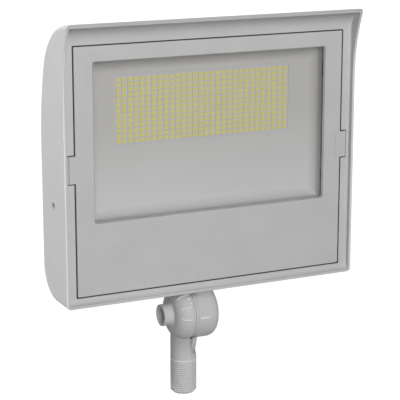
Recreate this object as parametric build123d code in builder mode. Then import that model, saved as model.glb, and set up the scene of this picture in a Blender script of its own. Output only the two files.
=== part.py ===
from build123d import *
import os
from math import cos, radians, sin

os.makedirs("parts", exist_ok=True)

# Frame of the part: origin on the stem axis at the top of its thread, X right, Y back, Z up, millimetres

# Knuckle and stem
thread_radius = 10.668
thread_length = 29.0
thread_end_chamfer = 2.0
stem_radius = 10.5
stem_bore_radius = 7.5
stem_bore_top = 2.0
stem_top_clearance = 0.5
stem_flat_distance = 7.9
stem_flat_bottom = 3.2
stem_flat_angles = (45.0, -45.0)
rib_start_x = 3.2
rib_thickness = 3.7
rib_foot_height = 6.5
rib_foot_half_depth = 6.0
rib_knee_height = 9.5
rib_knee_half_depth = 8.6
rib_top_height = 20.5
rib_top_half_depth = 12.4
hinge_height = 38.0
seam_x = 2.0
knuckle_radius = 21.7
seam_band = 2.4
seam_band_step = 0.5
seam_rim_width = 1.6
seam_gap = 0.3
tooth_count = 36
tooth_height = 0.9
tooth_width = 1.7
tooth_inner_radius = 15.4
tooth_rooting = 1.0
dome_face_x = -12.0
dome_corner_radius = 10.0
boss_radius = 8.8
boss_end_x = -20.0
boss_root_radius = 2.5
boss_recess_radius = 6.2
boss_recess_depth = 6.0
upper_end_x = 24.1
upper_corner_radius = 7.0
chamber_inner_radius = 6.2
chamber_outer_radius = 11.5
lower_chamber_depth = 10.0
upper_chamber_depth = 8.0
seal_groove_inner = 12.0
seal_groove_outer = 14.4
seal_groove_depth = 1.6
seal_fit = 0.05
lower_wireway_x = -4.8
lower_wireway_radius = 4.0

# Clamp bolt, metric coarse thread of eight millimetres
bolt_radius = 4.0
bolt_clearance = 0.05
bolt_end_x = -13.0
bolt_head_flats = 13.0
bolt_head_height = 5.3
washer_radius = 8.0
washer_bore_radius = 4.2
washer_thickness = 1.6
lock_washer_radius = 7.0
lock_washer_thickness = 2.0
lock_washer_slit = 1.2
bolt_well_radius = 10.0
bolt_seat_x = 14.0

# Neck between the knuckle and the housing
neck_end_x = 22.5
neck_half_depth = 14.0
neck_edge_radius = 6.0
neck_gasket_thickness = 1.0
neck_screw_x = (8.8, 17.2)
neck_screw_y = 9.3
neck_screw_radius = 2.0
neck_screw_head_radius = 3.6
neck_screw_head_height = 2.8
neck_screw_reach = 10.0
neck_wire_x = 9.0
neck_wire_radius = 3.5

# Head housing
knuckle_to_housing = 1.8
mid_x = 16.0
face_y = -22.0
housing_side_border = 9.5
bottom_border = 7.0
housing_depth = 48.7
heel_radius = 26.0
bend_below_recess_top = 81.0
bend_radius = 212.7
bend_angle = 16.7
shoulder_radius = 50.3
shoulder_angle = 60.5
crown_radius = 137.0
crown_angle = 7.4
lip_forward = 3.4
wing_start_height = 59.5
outer_edge_radius = 3.5
lip_thickness = 2.0
mouth_floor = 1.0
top_cove_radius = 14.4
bottom_cove_below = 4.9
valley_radius = 1.5
mouth_reach = 60.0

# Window and the frame around it
window_width = 199.3
window_top_border = 11.75
panel_height = 56.3
window_corner_radius = 1.5
window_lip_thickness = 1.5
window_side_border = 14.85
frame_height = 192.0
frame_gap = 1.0
frame_thickness = 6.0
frame_edge_break = 0.3
frame_corner_radius = 0.8
seat_depth = 7.0
seal_side_land = 5.0
seal_end_land = 4.5
ear_height = 21.0
ear_centre_height = 3.5
ear_overhang = 4.3
ear_pad_inset = 4.5
ear_pad_lift = 0.4
glass_overlap = 3.05
glass_margin = 0.5
glass_thickness = 4.0
lens_gasket_thickness = 0.8
lens_gasket_inset = 0.6
panel_skin = 3.0
panel_pocket_side_inset = 14.5
panel_pocket_bottom_inset = 10.0
panel_pocket_below_window = 14.3
frame_screw_side_inset = 4.0
frame_screw_end_inset = 3.7
frame_screw_radius = 2.0
frame_screw_head_radius = 3.6
frame_screw_head_height = 3.2
frame_screw_grip_back = 19.0
frame_screw_well_radius = 4.25
frame_thread_depth = 4.0
hole_clearance = 0.2
tap_clearance = 0.05

# Bays behind the frame
bay_corner_radius = 10.0
driver_bay_side_step = 5.5
driver_bay_below_window = 12.3
driver_bay_depth = 43.0
driver_bay_heel = 6.0

# Light engine
emitter_columns = 30
emitter_rows = 13
emitter_pitch_x = 5.0
emitter_pitch_z = 4.0
emitter_width = 3.7
emitter_height = 3.0
emitter_thickness = 0.7
emitter_face = 17.4
array_centre_z = 42.6
board_margin_shown = 1.35
tray_wall = 0.6
tray_to_glass = 0.3
tray_tab_width = 10.0
tray_tab_clearance = 2.5
tray_tab_heights = (-20.0, 60.0)
tray_screw_inset = 3.0
board_overlap = 6.1
board_thickness = 1.6
board_tail_left = 50.0
board_tail_width = 24.0
board_tail_above_bay = 2.0
board_fit = 0.3
thermal_pad_thickness = 0.5
board_screw_inset = 3.0
small_screw_radius = 1.5
small_screw_head_radius = 2.7
small_screw_head_height = 2.0
sunk_head_radius = 2.8
sunk_head_height = 1.3
fastener_sides = 8
board_screw_length = 6.0
tray_screw_length = 6.0
connector_inset = 4.0
connector_length = 8.0
connector_height = 6.0

# Cooling fins on the back
fin_groove_count = 17
fin_pitch = 12.0
fin_groove_width = 7.0
fin_groove_floor = 26.0
fin_groove_bottom = -36.0

# Threaded holes in both sides of the housing
side_hole_radius = 3.0
side_hole_depth = 12.0
side_hole_behind_face = 21.65
side_hole_height = -27.8

# Lens clips
clip_width = 12.0
clip_sheet = 0.8
clip_arm = 2.6
clip_start = 0.3
clip_foot_end = 5.6
clip_screw_offset = 3.4
clip_screw_radius = 1.25
clip_screw_head_radius = 2.1
clip_screw_head_height = 1.6
clip_screw_length = 4.0
clip_heights = (-25.0, 65.0)
clip_bottom_x = (-30.0, 30.0)

# Driver and its neighbours in the lower bay
driver_to_surge = 21.0
driver_height = 30.0
driver_above_floor = 6.5
driver_front = 15.0
driver_wall = 1.2
driver_ear = 7.0
driver_ear_height = 12.0
driver_screw_offset = 3.5
driver_post_radius = 2.5
driver_lid_post_size = 5.0
driver_board_gap = 4.2
driver_board_margin = 2.0
driver_board_thickness = 1.6
transformer_size = (24.0, 15.0, 18.0)
transformer_from_middle = 13.0
capacitor_radius = 5.0
capacitor_length = 14.0
capacitor_left_insets = (18.0, 32.0)
capacitor_right_inset = 24.0
bay_screw_length = 5.5
terminal_side_gap = 2.0
terminal_width = 28.0
terminal_height = 18.0
terminal_above_floor = 15.5
terminal_front = 28.0
surge_side_gap = 1.0
surge_width = 10.0
surge_height = 22.0
surge_above_floor = 7.5
surge_front = 24.0
ground_screw_inset = 14.0
ground_screw_above_floor = 11.5
ground_screw_radius = 2.0
ground_screw_head_radius = 3.6
ground_screw_head_height = 2.6
lead_radius = 0.75
lead_sides = 6
lead_bend_share = 0.45
input_lead_length = 16.0
input_lead_drops = (6.0, 12.0)
input_lead_depth = 33.0
positive_exit = (3.5, 7.0)
positive_run = 18.0
positive_entry_run = 20.0
negative_exit = (9.0, 16.0)
negative_run = 12.0
negative_entry_run = 14.0
connector_pin_inset = 2.0

# Sizes that follow from the ones above
frame_width = window_width + 2 * window_side_border
recess_width = frame_width + 2 * frame_gap
recess_height = frame_height + 2 * frame_gap
housing_width = recess_width + 2 * housing_side_border
bottom_z = hinge_height + knuckle_radius + knuckle_to_housing
mid_z = bottom_z + bottom_border + recess_height / 2
bend_height = recess_height / 2 - bend_below_recess_top
window_top = frame_height / 2 - window_top_border
window_bottom = panel_height - frame_height / 2
top_cove_height = recess_height / 2 + top_cove_radius
bottom_cove_height = -recess_height / 2 - bottom_cove_below
ear_reach = recess_width / 2 + ear_overhang
ear_pad_start = frame_width / 2 - ear_pad_inset
bay_half_width = frame_width / 2 - seal_side_land
bay_half_height = frame_height / 2 - seal_end_land
driver_bay_half_width = bay_half_width - driver_bay_side_step
driver_bay_top = window_bottom - driver_bay_below_window
panel_pocket_half_width = frame_width / 2 - panel_pocket_side_inset
panel_pocket_bottom = panel_pocket_bottom_inset - frame_height / 2
panel_pocket_top = window_bottom - panel_pocket_below_window
frame_screw_x = frame_width / 2 - frame_screw_side_inset
frame_screw_z = frame_height / 2 - frame_screw_end_inset
tray_tab_reach = bay_half_width - tray_tab_clearance
tray_screw_x = tray_tab_reach - tray_screw_inset
board_tail_right = board_tail_left + board_tail_width
board_tail_bottom = driver_bay_top + board_tail_above_bay
connector_left = board_tail_left + connector_inset
connector_right = board_tail_right - connector_inset
connector_bottom = board_tail_bottom
connector_top = connector_bottom + connector_length
terminal_left = terminal_side_gap - driver_bay_half_width
terminal_right = terminal_left + terminal_width
terminal_bottom = terminal_above_floor - bay_half_height
terminal_top = terminal_bottom + terminal_height
surge_right = driver_bay_half_width - surge_side_gap
surge_left = surge_right - surge_width
surge_bottom = surge_above_floor - bay_half_height
surge_top = surge_bottom + surge_height
ground_screw_x = terminal_left + ground_screw_inset
ground_screw_z = ground_screw_above_floor - bay_half_height
driver_left = terminal_right + input_lead_length
driver_right = surge_left - driver_to_surge
driver_length = driver_right - driver_left
driver_bottom = driver_above_floor - bay_half_height
driver_top = driver_bottom + driver_height
window_height = window_top - window_bottom
window_centre = (window_top + window_bottom) / 2
glass_width = window_width + 2 * glass_overlap
glass_height = window_height + 2 * glass_overlap
pocket_width = glass_width + 2 * glass_margin
pocket_height = glass_height + 2 * glass_margin
glass_front = window_lip_thickness + lens_gasket_thickness
glass_back = glass_front + glass_thickness
tray_front = glass_back + tray_to_glass
board_front = emitter_face + emitter_thickness
board_back = board_front + board_thickness
tray_floor_front = board_front - tray_wall
array_width = (emitter_columns - 1) * emitter_pitch_x + emitter_width
array_height = (emitter_rows - 1) * emitter_pitch_z + emitter_height
opening_width = array_width + 2 * board_margin_shown
opening_height = array_height + 2 * board_margin_shown
board_width = opening_width + 2 * board_overlap
board_height = opening_height + 2 * board_overlap
board_bottom = array_centre_z - board_height / 2
board_screw_x = board_width / 2 - board_screw_inset
board_screw_z = board_height / 2 - board_screw_inset
side_x = housing_width / 2
lip_y = face_y - lip_forward
back_y = face_y + housing_depth
floor_y = face_y + mouth_floor
lower_root_x = seam_x - seam_gap / 2 - tooth_height
upper_root_x = seam_x + seam_gap / 2 + tooth_height
lower_face_x = seam_x - seam_gap / 2
upper_face_x = seam_x + seam_gap / 2
band_radius = knuckle_radius - seam_band_step
tooth_start = tooth_inner_radius - tooth_rooting
tooth_end = band_radius - seam_rim_width + tooth_rooting
neck_start_x = seam_x + seam_band
neck_top = bottom_z - neck_gasket_thickness
housing_floor_z = mid_z - bay_half_height


def fastener_outline(radius, mode=Mode.ADD):
    """Eight-sided outline of a small screw, its head or its hole, across its corners."""
    RegularPolygon(radius, fastener_sides, mode=mode)


def layer(depth):
    """Plane parallel to the window frame, this far behind its front face, with X right and Y up."""
    return Plane(origin=(mid_x, face_y + depth, mid_z), x_dir=(1, 0, 0), z_dir=(0, -1, 0))


def across(x):
    """Plane square to the hinge axis at this X, centred on the axis."""
    return Plane(origin=(x, 0, hinge_height), x_dir=(0, 1, 0), z_dir=(1, 0, 0))


hinge_axis = Axis((0, 0, hinge_height), (1, 0, 0))
frame_screw_places = [(sx * frame_screw_x, sz * frame_screw_z) for sx in (-1, 1) for sz in (-1, 1)]
tray_screw_places = [(sx * tray_screw_x, z) for sx in (-1, 1) for z in tray_tab_heights]
board_screw_places = [
    (sx * board_screw_x, array_centre_z + sz * board_screw_z) for sx in (-1, 1) for sz in (-1, 1)
]
driver_middle_z = (driver_bottom + driver_top) / 2
driver_screw_places = [
    (driver_left - driver_screw_offset, driver_middle_z),
    (driver_right + driver_screw_offset, driver_middle_z),
]
neck_screw_places = [(x, sy * neck_screw_y) for x in neck_screw_x for sy in (-1, 1)]

# Space of the hooded mouth in front of the frame, with a cove above and below and soft valleys at the sides
with BuildPart() as mouth:
    with BuildSketch(Plane.YZ.offset(mid_x - side_x + lip_thickness)):
        with BuildLine():
            sill = Line((floor_y - mouth_reach, mid_z + bottom_cove_height), (lip_y, mid_z + bottom_cove_height))
            lower_cove = JernArc(sill @ 1, (1, 0), floor_y - lip_y, 90)
            rear = Line(lower_cove @ 1, (floor_y, mid_z + top_cove_height - top_cove_radius))
            upper_cove = JernArc(rear @ 1, (0, 1), top_cove_radius, 90)
            ceiling = Line(upper_cove @ 1, (floor_y - mouth_reach, mid_z + top_cove_height))
            Line(ceiling @ 1, sill @ 0)
        make_face()
    extrude(amount=housing_width - 2 * lip_thickness)
    mouth_sides = mouth.faces().filter_by(Axis.X)
    valley_edges = mouth_sides.edges().filter_by(lambda e: (e @ 0.5).Y > floor_y - mouth_reach + 1)
    fillet(valley_edges, radius=valley_radius)

# Housing: one casting with hood, seat for the frame, bays, board pocket, fins and holes
with BuildPart() as housing:
    with BuildSketch(Plane.YZ.offset(mid_x - side_x)):
        with BuildLine():
            foot = Line((lip_y, bottom_z), (back_y - heel_radius, bottom_z))
            heel = JernArc(foot @ 1, foot % 1, heel_radius, 90)
            back = Line(heel @ 1, (back_y, mid_z + bend_height))
            bend = JernArc(back @ 1, back % 1, bend_radius, bend_angle)
            shoulder = JernArc(bend @ 1, bend % 1, shoulder_radius, shoulder_angle)
            crown = JernArc(shoulder @ 1, shoulder % 1, crown_radius, crown_angle)
            wing = TangentArc((lip_y, mid_z + wing_start_height), crown @ 1, tangent=(0, 1))
            Line(foot @ 0, wing @ 0)
        make_face()
    extrude(amount=housing_width)
    visor_tip = crown @ 1
    side_edges = housing.faces().filter_by(Axis.X).edges()
    behind_lip = side_edges.filter_by(
        lambda e: (e @ 0.5).Y > lip_y + 1 or (e @ 0.5).Z > mid_z + top_cove_height
    )
    fillet(behind_lip, radius=outer_edge_radius)
    add(mouth.part, mode=Mode.SUBTRACT)
    # Seat for the frame and its two ears
    with BuildSketch(layer(mouth_floor - 1)):
        RectangleRounded(recess_width, recess_height, frame_corner_radius)
        with Locations((0, ear_centre_height)):
            Rectangle(2 * (ear_reach + frame_gap), ear_height + 2 * frame_gap)
    extrude(amount=-(seat_depth - mouth_floor + 1), mode=Mode.SUBTRACT)
    # Shallow bay for the light engine and deep bay for the driver
    with BuildSketch(layer(seat_depth)):
        RectangleRounded(2 * bay_half_width, 2 * bay_half_height, bay_corner_radius)
    extrude(amount=-(board_front - seat_depth), mode=Mode.SUBTRACT)
    with BuildSketch(Plane.YZ.offset(mid_x - driver_bay_half_width)):
        with BuildLine():
            bay_floor = Line(
                (face_y + seat_depth, housing_floor_z),
                (face_y + driver_bay_depth - driver_bay_heel, housing_floor_z),
            )
            bay_heel = JernArc(bay_floor @ 1, (1, 0), driver_bay_heel, 90)
            bay_back = Line(bay_heel @ 1, (face_y + driver_bay_depth, mid_z + driver_bay_top))
            bay_roof = Line(bay_back @ 1, (face_y + seat_depth, mid_z + driver_bay_top))
            Line(bay_roof @ 1, bay_floor @ 0)
        make_face()
    extrude(amount=2 * driver_bay_half_width, mode=Mode.SUBTRACT)
    # Pocket for the pad and board, and the channel for the board's tail
    with BuildSketch(layer(board_front)):
        with Locations((0, array_centre_z)):
            Rectangle(board_width + 2 * board_fit, board_height + 2 * board_fit)
    extrude(amount=-(board_thickness + thermal_pad_thickness), mode=Mode.SUBTRACT)
    with BuildSketch(layer(board_front)):
        with Locations(((board_tail_left + board_tail_right) / 2, (driver_bay_top + board_bottom) / 2)):
            Rectangle(board_tail_right - board_tail_left + 2 * board_fit, board_bottom - driver_bay_top)
    extrude(amount=-board_thickness, mode=Mode.SUBTRACT)
    # Grooves between the cooling fins
    groove_length = 2 * mid_z
    with BuildSketch(layer(fin_groove_floor)):
        with GridLocations(fin_pitch, 0, fin_groove_count, 1):
            with Locations((0, fin_groove_bottom + groove_length / 2)):
                Rectangle(fin_groove_width, groove_length)
            with Locations((0, fin_groove_bottom)):
                Circle(fin_groove_width / 2)
    extrude(amount=-housing_depth, mode=Mode.SUBTRACT)
    # Screw holes from the back into the frame
    with BuildSketch(layer(seat_depth)):
        with Locations(frame_screw_places):
            fastener_outline(frame_screw_radius + hole_clearance)
    extrude(amount=-housing_depth, mode=Mode.SUBTRACT)
    with BuildSketch(layer(frame_screw_grip_back)):
        with Locations(frame_screw_places):
            fastener_outline(frame_screw_well_radius)
    extrude(amount=-housing_depth, mode=Mode.SUBTRACT)
    # Blind tapped holes for the tray, the board and what hangs on the back of the driver bay
    with BuildSketch(layer(board_front)):
        with Locations(tray_screw_places):
            fastener_outline(small_screw_radius + tap_clearance)
    extrude(amount=-tray_screw_length, mode=Mode.SUBTRACT)
    with BuildSketch(layer(board_front)):
        with Locations(board_screw_places):
            fastener_outline(small_screw_radius + tap_clearance)
    extrude(amount=-(board_screw_length + hole_clearance), mode=Mode.SUBTRACT)
    with BuildSketch(layer(driver_bay_depth)):
        with Locations(driver_screw_places):
            fastener_outline(small_screw_radius + tap_clearance)
        with Locations((ground_screw_x, ground_screw_z)):
            fastener_outline(ground_screw_radius + tap_clearance)
    extrude(amount=-(bay_screw_length - driver_wall), mode=Mode.SUBTRACT)
    # Threaded hole in each side
    for side in (-1, 1):
        with BuildSketch(Plane.YZ.offset(mid_x + side * side_x)):
            with Locations((face_y + side_hole_behind_face, mid_z + side_hole_height)):
                Circle(side_hole_radius)
        extrude(amount=-side * side_hole_depth, mode=Mode.SUBTRACT)
    # Holes through the bottom to the neck
    with BuildSketch(Plane.XY.offset(bottom_z)):
        with Locations(neck_screw_places):
            fastener_outline(neck_screw_radius + hole_clearance)
        with Locations((neck_wire_x, 0)):
            Circle(neck_wire_radius)
    extrude(amount=housing_floor_z - bottom_z, mode=Mode.SUBTRACT)

# Window frame: plate with ears, raised pads, glass pocket and hollowed blank panel
with BuildPart() as front_frame:
    with BuildSketch(layer(0)):
        RectangleRounded(frame_width, frame_height, frame_corner_radius)
        with Locations((0, ear_centre_height)):
            Rectangle(2 * ear_reach, ear_height)
    extrude(amount=-frame_thickness)
    with BuildSketch(layer(0)):
        with Locations((0, window_centre)):
            RectangleRounded(window_width, window_height, window_corner_radius)
    extrude(amount=-frame_thickness, mode=Mode.SUBTRACT)
    front_edges = front_frame.faces().sort_by(Axis.Y)[0].edges()
    chamfer(front_edges, length=frame_edge_break)
    with BuildSketch(layer(-ear_pad_lift)):
        for side in (-1, 1):
            with Locations((side * (ear_pad_start + ear_reach - frame_edge_break) / 2, ear_centre_height)):
                Rectangle(ear_reach - frame_edge_break - ear_pad_start, ear_height - 2 * frame_edge_break)
    extrude(amount=-(ear_pad_lift + frame_edge_break))
    with BuildSketch(layer(window_lip_thickness)):
        with Locations((0, window_centre)):
            RectangleRounded(pocket_width, pocket_height, window_corner_radius)
    extrude(amount=-frame_thickness, mode=Mode.SUBTRACT)
    with BuildSketch(layer(panel_skin)):
        with Locations((0, (panel_pocket_bottom + panel_pocket_top) / 2)):
            Rectangle(2 * panel_pocket_half_width, panel_pocket_top - panel_pocket_bottom)
    extrude(amount=-frame_thickness, mode=Mode.SUBTRACT)
    with BuildSketch(layer(frame_thickness)):
        with Locations(frame_screw_places):
            fastener_outline(frame_screw_radius + tap_clearance)
    extrude(amount=frame_thread_depth, mode=Mode.SUBTRACT)
    with BuildSketch(layer(frame_thickness)):
        for height in clip_heights:
            for side in (-1, 1):
                with Locations((side * (pocket_width / 2 + clip_screw_offset), height)):
                    fastener_outline(clip_screw_radius + tap_clearance)
        for place in clip_bottom_x:
            with Locations((place, window_centre - pocket_height / 2 - clip_screw_offset)):
                fastener_outline(clip_screw_radius + tap_clearance)
    extrude(amount=clip_screw_length - clip_sheet, mode=Mode.SUBTRACT)

# Gasket between the frame and its seat
with BuildPart() as frame_gasket:
    with BuildSketch(layer(frame_thickness)):
        RectangleRounded(frame_width, frame_height, frame_corner_radius)
        RectangleRounded(2 * bay_half_width, 2 * bay_half_height, bay_corner_radius, mode=Mode.SUBTRACT)
        with Locations(frame_screw_places):
            fastener_outline(frame_screw_radius + hole_clearance, Mode.SUBTRACT)
    extrude(amount=-(seat_depth - frame_thickness))

# Glass and the bead it lies on
with BuildPart() as lens_gasket:
    with BuildSketch(layer(window_lip_thickness)):
        with Locations((0, window_centre)):
            RectangleRounded(glass_width, glass_height, window_corner_radius)
            RectangleRounded(
                window_width + 2 * lens_gasket_inset,
                window_height + 2 * lens_gasket_inset,
                window_corner_radius,
                mode=Mode.SUBTRACT,
            )
    extrude(amount=-lens_gasket_thickness)

with BuildPart() as lens_glass:
    with BuildSketch(layer(glass_front)):
        with Locations((0, window_centre)):
            RectangleRounded(glass_width, glass_height, window_corner_radius)
    extrude(amount=-glass_thickness)


def clip_planes():
    """Planes of the six lens clips: origin on the edge of the glass pocket, X away from the glass, Y back."""
    planes = []
    for height in clip_heights:
        for side in (-1, 1):
            edge = (mid_x + side * pocket_width / 2, face_y, mid_z + height)
            planes.append(Plane(origin=edge, x_dir=(side, 0, 0), z_dir=(0, 0, side)))
    lower_edge = mid_z + window_centre - pocket_height / 2
    for place in clip_bottom_x:
        planes.append(Plane(origin=(mid_x + place, face_y, lower_edge), x_dir=(0, 0, -1), z_dir=(1, 0, 0)))
    return planes


# Spring clips that hold the glass in the frame
clip_screw_spots = [plane.from_local_coords((clip_screw_offset, 0, 0)) for plane in clip_planes()]
clip_screw_places = [(spot.X - mid_x, spot.Z - mid_z) for spot in clip_screw_spots]
with BuildPart() as lens_clips:
    for plane in clip_planes():
        with BuildSketch(plane.offset(-clip_width / 2)):
            with BuildLine():
                Polyline(
                    (-clip_arm, glass_back),
                    (clip_start, glass_back),
                    (clip_start, frame_thickness),
                    (clip_foot_end, frame_thickness),
                    (clip_foot_end, frame_thickness + clip_sheet),
                    (clip_start + clip_sheet, frame_thickness + clip_sheet),
                    (clip_start + clip_sheet, glass_back + clip_sheet),
                    (-clip_arm, glass_back + clip_sheet),
                    close=True,
                )
            make_face()
        extrude(amount=clip_width)
    with BuildSketch(layer(frame_thickness)):
        with Locations(clip_screw_places):
            fastener_outline(clip_screw_radius + hole_clearance)
    extrude(amount=-clip_sheet, mode=Mode.SUBTRACT)

with BuildPart() as lens_clip_screws:
    with BuildSketch(layer(frame_thickness + clip_sheet)):
        with Locations(clip_screw_places):
            fastener_outline(clip_screw_head_radius)
    extrude(amount=-clip_screw_head_height)
    with BuildSketch(layer(frame_thickness + clip_sheet)):
        with Locations(clip_screw_places):
            fastener_outline(clip_screw_radius)
    extrude(amount=clip_screw_length - tap_clearance)

# Four screws through the housing into the frame
with BuildPart() as frame_screws:
    with BuildSketch(layer(frame_screw_grip_back)):
        with Locations(frame_screw_places):
            fastener_outline(frame_screw_head_radius)
    extrude(amount=-frame_screw_head_height)
    with BuildSketch(layer(frame_screw_grip_back)):
        with Locations(frame_screw_places):
            fastener_outline(frame_screw_radius)
    extrude(amount=frame_screw_grip_back - frame_thickness + frame_thread_depth - hole_clearance)

# White tray around the emitters
with BuildPart() as reflector_tray:
    with BuildSketch(layer(tray_front)):
        with Locations((0, window_centre)):
            Rectangle(window_width + 2 * tray_wall, window_height + 2 * tray_wall)
            Rectangle(window_width, window_height, mode=Mode.SUBTRACT)
    extrude(amount=-(board_front - tray_front))
    with BuildSketch(layer(tray_floor_front)):
        with Locations((0, window_centre)):
            Rectangle(window_width + tray_wall, window_height + tray_wall)
        for height in tray_tab_heights:
            with Locations((0, height)):
                Rectangle(2 * tray_tab_reach, tray_tab_width)
        with Locations((0, array_centre_z)):
            Rectangle(opening_width, opening_height, mode=Mode.SUBTRACT)
        with Locations(tray_screw_places):
            fastener_outline(small_screw_radius + hole_clearance, Mode.SUBTRACT)
    extrude(amount=-tray_wall)

with BuildPart() as tray_screws:
    with BuildSketch(layer(tray_floor_front)):
        with Locations(tray_screw_places):
            fastener_outline(small_screw_head_radius)
    extrude(amount=small_screw_head_height)
    with BuildSketch(layer(tray_floor_front)):
        with Locations(tray_screw_places):
            fastener_outline(small_screw_radius)
    extrude(amount=-tray_screw_length)

# Light board with a tail that reaches its connector below the tray
with BuildPart() as led_board:
    with BuildSketch(layer(board_front)):
        with Locations((0, array_centre_z)):
            Rectangle(board_width, board_height)
        with Locations(((board_tail_left + board_tail_right) / 2, (board_tail_bottom + board_bottom) / 2)):
            Rectangle(board_tail_right - board_tail_left, board_bottom - board_tail_bottom)
        with Locations(board_screw_places):
            fastener_outline(small_screw_radius + hole_clearance, Mode.SUBTRACT)
    extrude(amount=-board_thickness)
    with BuildSketch(layer(board_front)):
        with Locations(board_screw_places):
            fastener_outline(sunk_head_radius + tap_clearance)
    extrude(amount=-sunk_head_height, mode=Mode.SUBTRACT)

with BuildPart() as led_board_screws:
    with BuildSketch(layer(board_front)):
        with Locations(board_screw_places):
            fastener_outline(sunk_head_radius)
    extrude(amount=-sunk_head_height)
    with BuildSketch(layer(board_front + sunk_head_height)):
        with Locations(board_screw_places):
            fastener_outline(small_screw_radius)
    extrude(amount=-(board_screw_length - sunk_head_height))

with BuildPart() as thermal_pad:
    with BuildSketch(layer(board_back)):
        with Locations((0, array_centre_z)):
            Rectangle(board_width, board_height)
        with Locations(board_screw_places):
            fastener_outline(small_screw_radius + 2 * hole_clearance, Mode.SUBTRACT)
    extrude(amount=-thermal_pad_thickness)

# Surface-mounted light emitters
with BuildPart() as led_emitters:
    with BuildSketch(layer(board_front)):
        with Locations((0, array_centre_z)):
            with GridLocations(emitter_pitch_x, emitter_pitch_z, emitter_columns, emitter_rows):
                Rectangle(emitter_width, emitter_height)
    extrude(amount=emitter_thickness)

with BuildPart() as led_connector:
    with BuildSketch(layer(board_front)):
        with Locations(((connector_left + connector_right) / 2, (connector_bottom + connector_top) / 2)):
            Rectangle(connector_right - connector_left, connector_top - connector_bottom)
    extrude(amount=connector_height)

# Driver case, open to the front, with end ears, lid posts and board posts
driver_middle_x = (driver_left + driver_right) / 2
driver_board_front = driver_bay_depth - driver_wall - driver_board_gap - driver_board_thickness
lid_screw_inset = driver_wall + driver_lid_post_size / 2
driver_lid_screw_places = [
    (driver_left + lid_screw_inset, driver_bottom + lid_screw_inset),
    (driver_right - lid_screw_inset, driver_top - lid_screw_inset),
]
post_inset = driver_wall + driver_board_margin + driver_post_radius
driver_post_places = [
    (driver_left + post_inset, driver_top - post_inset),
    (driver_right - post_inset, driver_bottom + post_inset),
]
with BuildPart() as driver_case:
    with BuildSketch(layer(driver_front + driver_wall)):
        with Locations((driver_middle_x, driver_middle_z)):
            Rectangle(driver_length, driver_height)
    extrude(amount=-(driver_bay_depth - driver_front - driver_wall))
    with BuildSketch(layer(driver_front + driver_wall)):
        with Locations((driver_middle_x, driver_middle_z)):
            Rectangle(driver_length - 2 * driver_wall, driver_height - 2 * driver_wall)
    extrude(amount=-(driver_bay_depth - driver_front - 2 * driver_wall), mode=Mode.SUBTRACT)
    with BuildSketch(layer(driver_bay_depth - driver_wall)):
        with Locations((driver_middle_x, driver_middle_z)):
            Rectangle(driver_length + 2 * driver_ear, driver_ear_height)
        with Locations(driver_screw_places):
            fastener_outline(small_screw_radius + hole_clearance, Mode.SUBTRACT)
    extrude(amount=-driver_wall)
    with BuildSketch(layer(driver_bay_depth - driver_wall)):
        with Locations(driver_post_places):
            Circle(driver_post_radius)
    extrude(amount=driver_board_gap)
    with BuildSketch(layer(driver_front + driver_wall)):
        with Locations(driver_lid_screw_places):
            Rectangle(driver_lid_post_size, driver_lid_post_size)
            fastener_outline(clip_screw_radius + tap_clearance, Mode.SUBTRACT)
    extrude(amount=-bay_screw_length)

with BuildPart() as driver_lid:
    with BuildSketch(layer(driver_front)):
        with Locations((driver_middle_x, driver_middle_z)):
            Rectangle(driver_length, driver_height)
        with Locations(driver_lid_screw_places):
            fastener_outline(clip_screw_radius + hole_clearance, Mode.SUBTRACT)
    extrude(amount=-driver_wall)

with BuildPart() as driver_lid_screws:
    with BuildSketch(layer(driver_front)):
        with Locations(driver_lid_screw_places):
            fastener_outline(clip_screw_head_radius)
    extrude(amount=clip_screw_head_height)
    with BuildSketch(layer(driver_front)):
        with Locations(driver_lid_screw_places):
            fastener_outline(clip_screw_radius)
    extrude(amount=-(clip_screw_length + driver_wall))

with BuildPart() as driver_mount_screws:
    with BuildSketch(layer(driver_bay_depth - driver_wall)):
        with Locations(driver_screw_places):
            fastener_outline(small_screw_head_radius)
    extrude(amount=small_screw_head_height)
    with BuildSketch(layer(driver_bay_depth - driver_wall)):
        with Locations(driver_screw_places):
            fastener_outline(small_screw_radius)
    extrude(amount=-(bay_screw_length - hole_clearance))

# Circuit board of the driver with its transformer and capacitors
with BuildPart() as driver_board:
    with BuildSketch(layer(driver_board_front)):
        with Locations((driver_middle_x, driver_middle_z)):
            Rectangle(
                driver_length - 2 * (driver_wall + driver_board_margin),
                driver_height - 2 * (driver_wall + driver_board_margin),
            )
    extrude(amount=-driver_board_thickness)

with BuildPart() as driver_transformer:
    with BuildSketch(layer(driver_board_front)):
        with Locations((driver_middle_x + transformer_from_middle, driver_middle_z)):
            Rectangle(transformer_size[0], transformer_size[2])
    extrude(amount=transformer_size[1])
    chamfer(driver_transformer.faces().sort_by(Axis.Y)[0].edges(), length=1.5)

capacitor_places = [(driver_left + inset, driver_middle_z) for inset in capacitor_left_insets]
capacitor_places.append((driver_right - capacitor_right_inset, driver_middle_z))
with BuildPart() as driver_capacitors:
    with BuildSketch(layer(driver_board_front)):
        with Locations(capacitor_places):
            Circle(capacitor_radius)
    extrude(amount=capacitor_length)

# Supply terminal block, surge protector and earth screw on the back wall of the driver bay
with BuildPart() as terminal_block:
    with BuildSketch(layer(terminal_front)):
        with Locations(((terminal_left + terminal_right) / 2, (terminal_bottom + terminal_top) / 2)):
            Rectangle(terminal_right - terminal_left, terminal_top - terminal_bottom)
    extrude(amount=-(driver_bay_depth - terminal_front))
    chamfer(terminal_block.faces().sort_by(Axis.Y)[0].edges(), length=1.0)

with BuildPart() as surge_protector:
    with BuildSketch(layer(surge_front)):
        with Locations(((surge_left + surge_right) / 2, (surge_bottom + surge_top) / 2)):
            RectangleRounded(surge_right - surge_left, surge_top - surge_bottom, 2.0)
    extrude(amount=-(driver_bay_depth - surge_front))

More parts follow.
